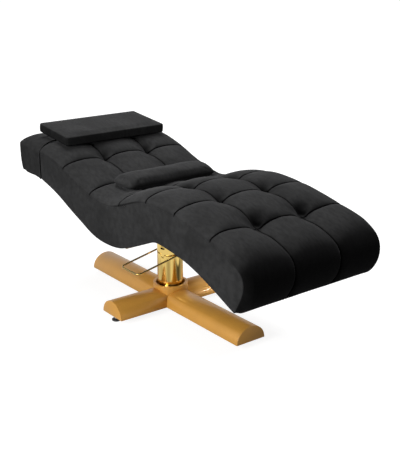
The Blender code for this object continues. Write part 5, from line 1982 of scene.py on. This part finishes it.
class LASHBED_OT_top_cushion(Operator):
    """Makes the tufted velvet top"""

    bl_idname = "lash_bed.top_cushion"
    bl_label = "Tufted Top"

    def execute(self, context):
        make_top_cushion()
        return {"FINISHED"}


class LASHBED_OT_flanks(Operator):
    """Makes the velvet side panels"""

    bl_idname = "lash_bed.flanks"
    bl_label = "Side Panels"

    def execute(self, context):
        make_flanks()
        return {"FINISHED"}


class LASHBED_OT_hood(Operator):
    """Makes the hood over the head end and its flap"""

    bl_idname = "lash_bed.hood"
    bl_label = "Head Hood"

    def execute(self, context):
        make_hood()
        make_flap()
        return {"FINISHED"}


class LASHBED_OT_head_pillow(Operator):
    """Makes the flat head pillow"""

    bl_idname = "lash_bed.head_pillow"
    bl_label = "Head Pillow"

    def execute(self, context):
        make_head_pillow()
        return {"FINISHED"}


class LASHBED_OT_lumbar(Operator):
    """Makes the bolster across the waist"""

    bl_idname = "lash_bed.lumbar"
    bl_label = "Bolster"

    def execute(self, context):
        make_lumbar()
        return {"FINISHED"}


class LASHBED_OT_stitches(Operator):
    """Sews thread into the seams"""

    bl_idname = "lash_bed.stitches"
    bl_label = "Stitches"

    def execute(self, context):
        make_stitches()
        return {"FINISHED"}


class LASHBED_OT_base(Operator):
    """Paints the cross base"""

    bl_idname = "lash_bed.base"
    bl_label = "Cross Base"

    def execute(self, context):
        make_base()
        return {"FINISHED"}


class LASHBED_OT_column(Operator):
    """Finishes the hydraulic column"""

    bl_idname = "lash_bed.column"
    bl_label = "Column"

    def execute(self, context):
        make_column()
        return {"FINISHED"}


class LASHBED_OT_pedal(Operator):
    """Makes the wire pedal"""

    bl_idname = "lash_bed.pedal"
    bl_label = "Pedal"

    def execute(self, context):
        make_pedal()
        return {"FINISHED"}


class LASHBED_OT_feet(Operator):
    """Finishes the levelling feet"""

    bl_idname = "lash_bed.feet"
    bl_label = "Levelling Feet"

    def execute(self, context):
        make_feet()
        return {"FINISHED"}


class LASHBED_OT_carcass(Operator):
    """Gives the boards and the lining their finish"""

    bl_idname = "lash_bed.carcass"
    bl_label = "Carcass"

    def execute(self, context):
        make_carcass()
        return {"FINISHED"}


OPERATORS = (
    LASHBED_OT_stage,
    LASHBED_OT_flanks,
    LASHBED_OT_top_cushion,
    LASHBED_OT_head_pillow,
    LASHBED_OT_hood,
    LASHBED_OT_lumbar,
    LASHBED_OT_stitches,
    LASHBED_OT_base,
    LASHBED_OT_column,
    LASHBED_OT_pedal,
    LASHBED_OT_feet,
    LASHBED_OT_carcass,
)


class LASHBED_PT_panel(Panel):
    """Lists the pieces of the lash bed"""

    bl_idname = "LASHBED_PT_panel"
    bl_label = "Lash Bed"
    bl_space_type = "VIEW_3D"
    bl_region_type = "UI"
    bl_category = "Lash Bed"

    def draw(self, context):
        for group in SETTINGS:
            box = self.layout.box()
            values = getattr(context.scene, group)
            for field in values.bl_rna.properties:
                if field.identifier not in ("rna_type", "name"):
                    box.prop(values, field.identifier)
        for operator in OPERATORS:
            self.layout.operator(operator.bl_idname)


SETTINGS = {
    "lash_bed_velvet": LashBedVelvet,
    "lash_bed_quilt": LashBedQuilt,
    "lash_bed_padding": LashBedPadding,
    "lash_bed_metal": LashBedMetal,
    "lash_bed_stage": LashBedStage,
}


def register():
    for group, kind in SETTINGS.items():
        bpy.utils.register_class(kind)
        setattr(bpy.types.Scene, group, PointerProperty(type=kind))
    for operator in OPERATORS:
        bpy.utils.register_class(operator)
    bpy.utils.register_class(LASHBED_PT_panel)


def unregister():
    bpy.utils.unregister_class(LASHBED_PT_panel)
    for operator in reversed(OPERATORS):
        bpy.utils.unregister_class(operator)
    for group, kind in reversed(SETTINGS.items()):
        delattr(bpy.types.Scene, group)
        bpy.utils.unregister_class(kind)


def main():
    register()
    bpy.ops.lash_bed.stage()
    bpy.ops.lash_bed.flanks()
    bpy.ops.lash_bed.top_cushion()
    bpy.ops.lash_bed.head_pillow()
    bpy.ops.lash_bed.hood()
    bpy.ops.lash_bed.lumbar()
    bpy.ops.lash_bed.stitches()
    bpy.ops.lash_bed.base()
    bpy.ops.lash_bed.column()
    bpy.ops.lash_bed.pedal()
    bpy.ops.lash_bed.feet()
    bpy.ops.lash_bed.carcass()


if __name__ == "__main__":
    main()
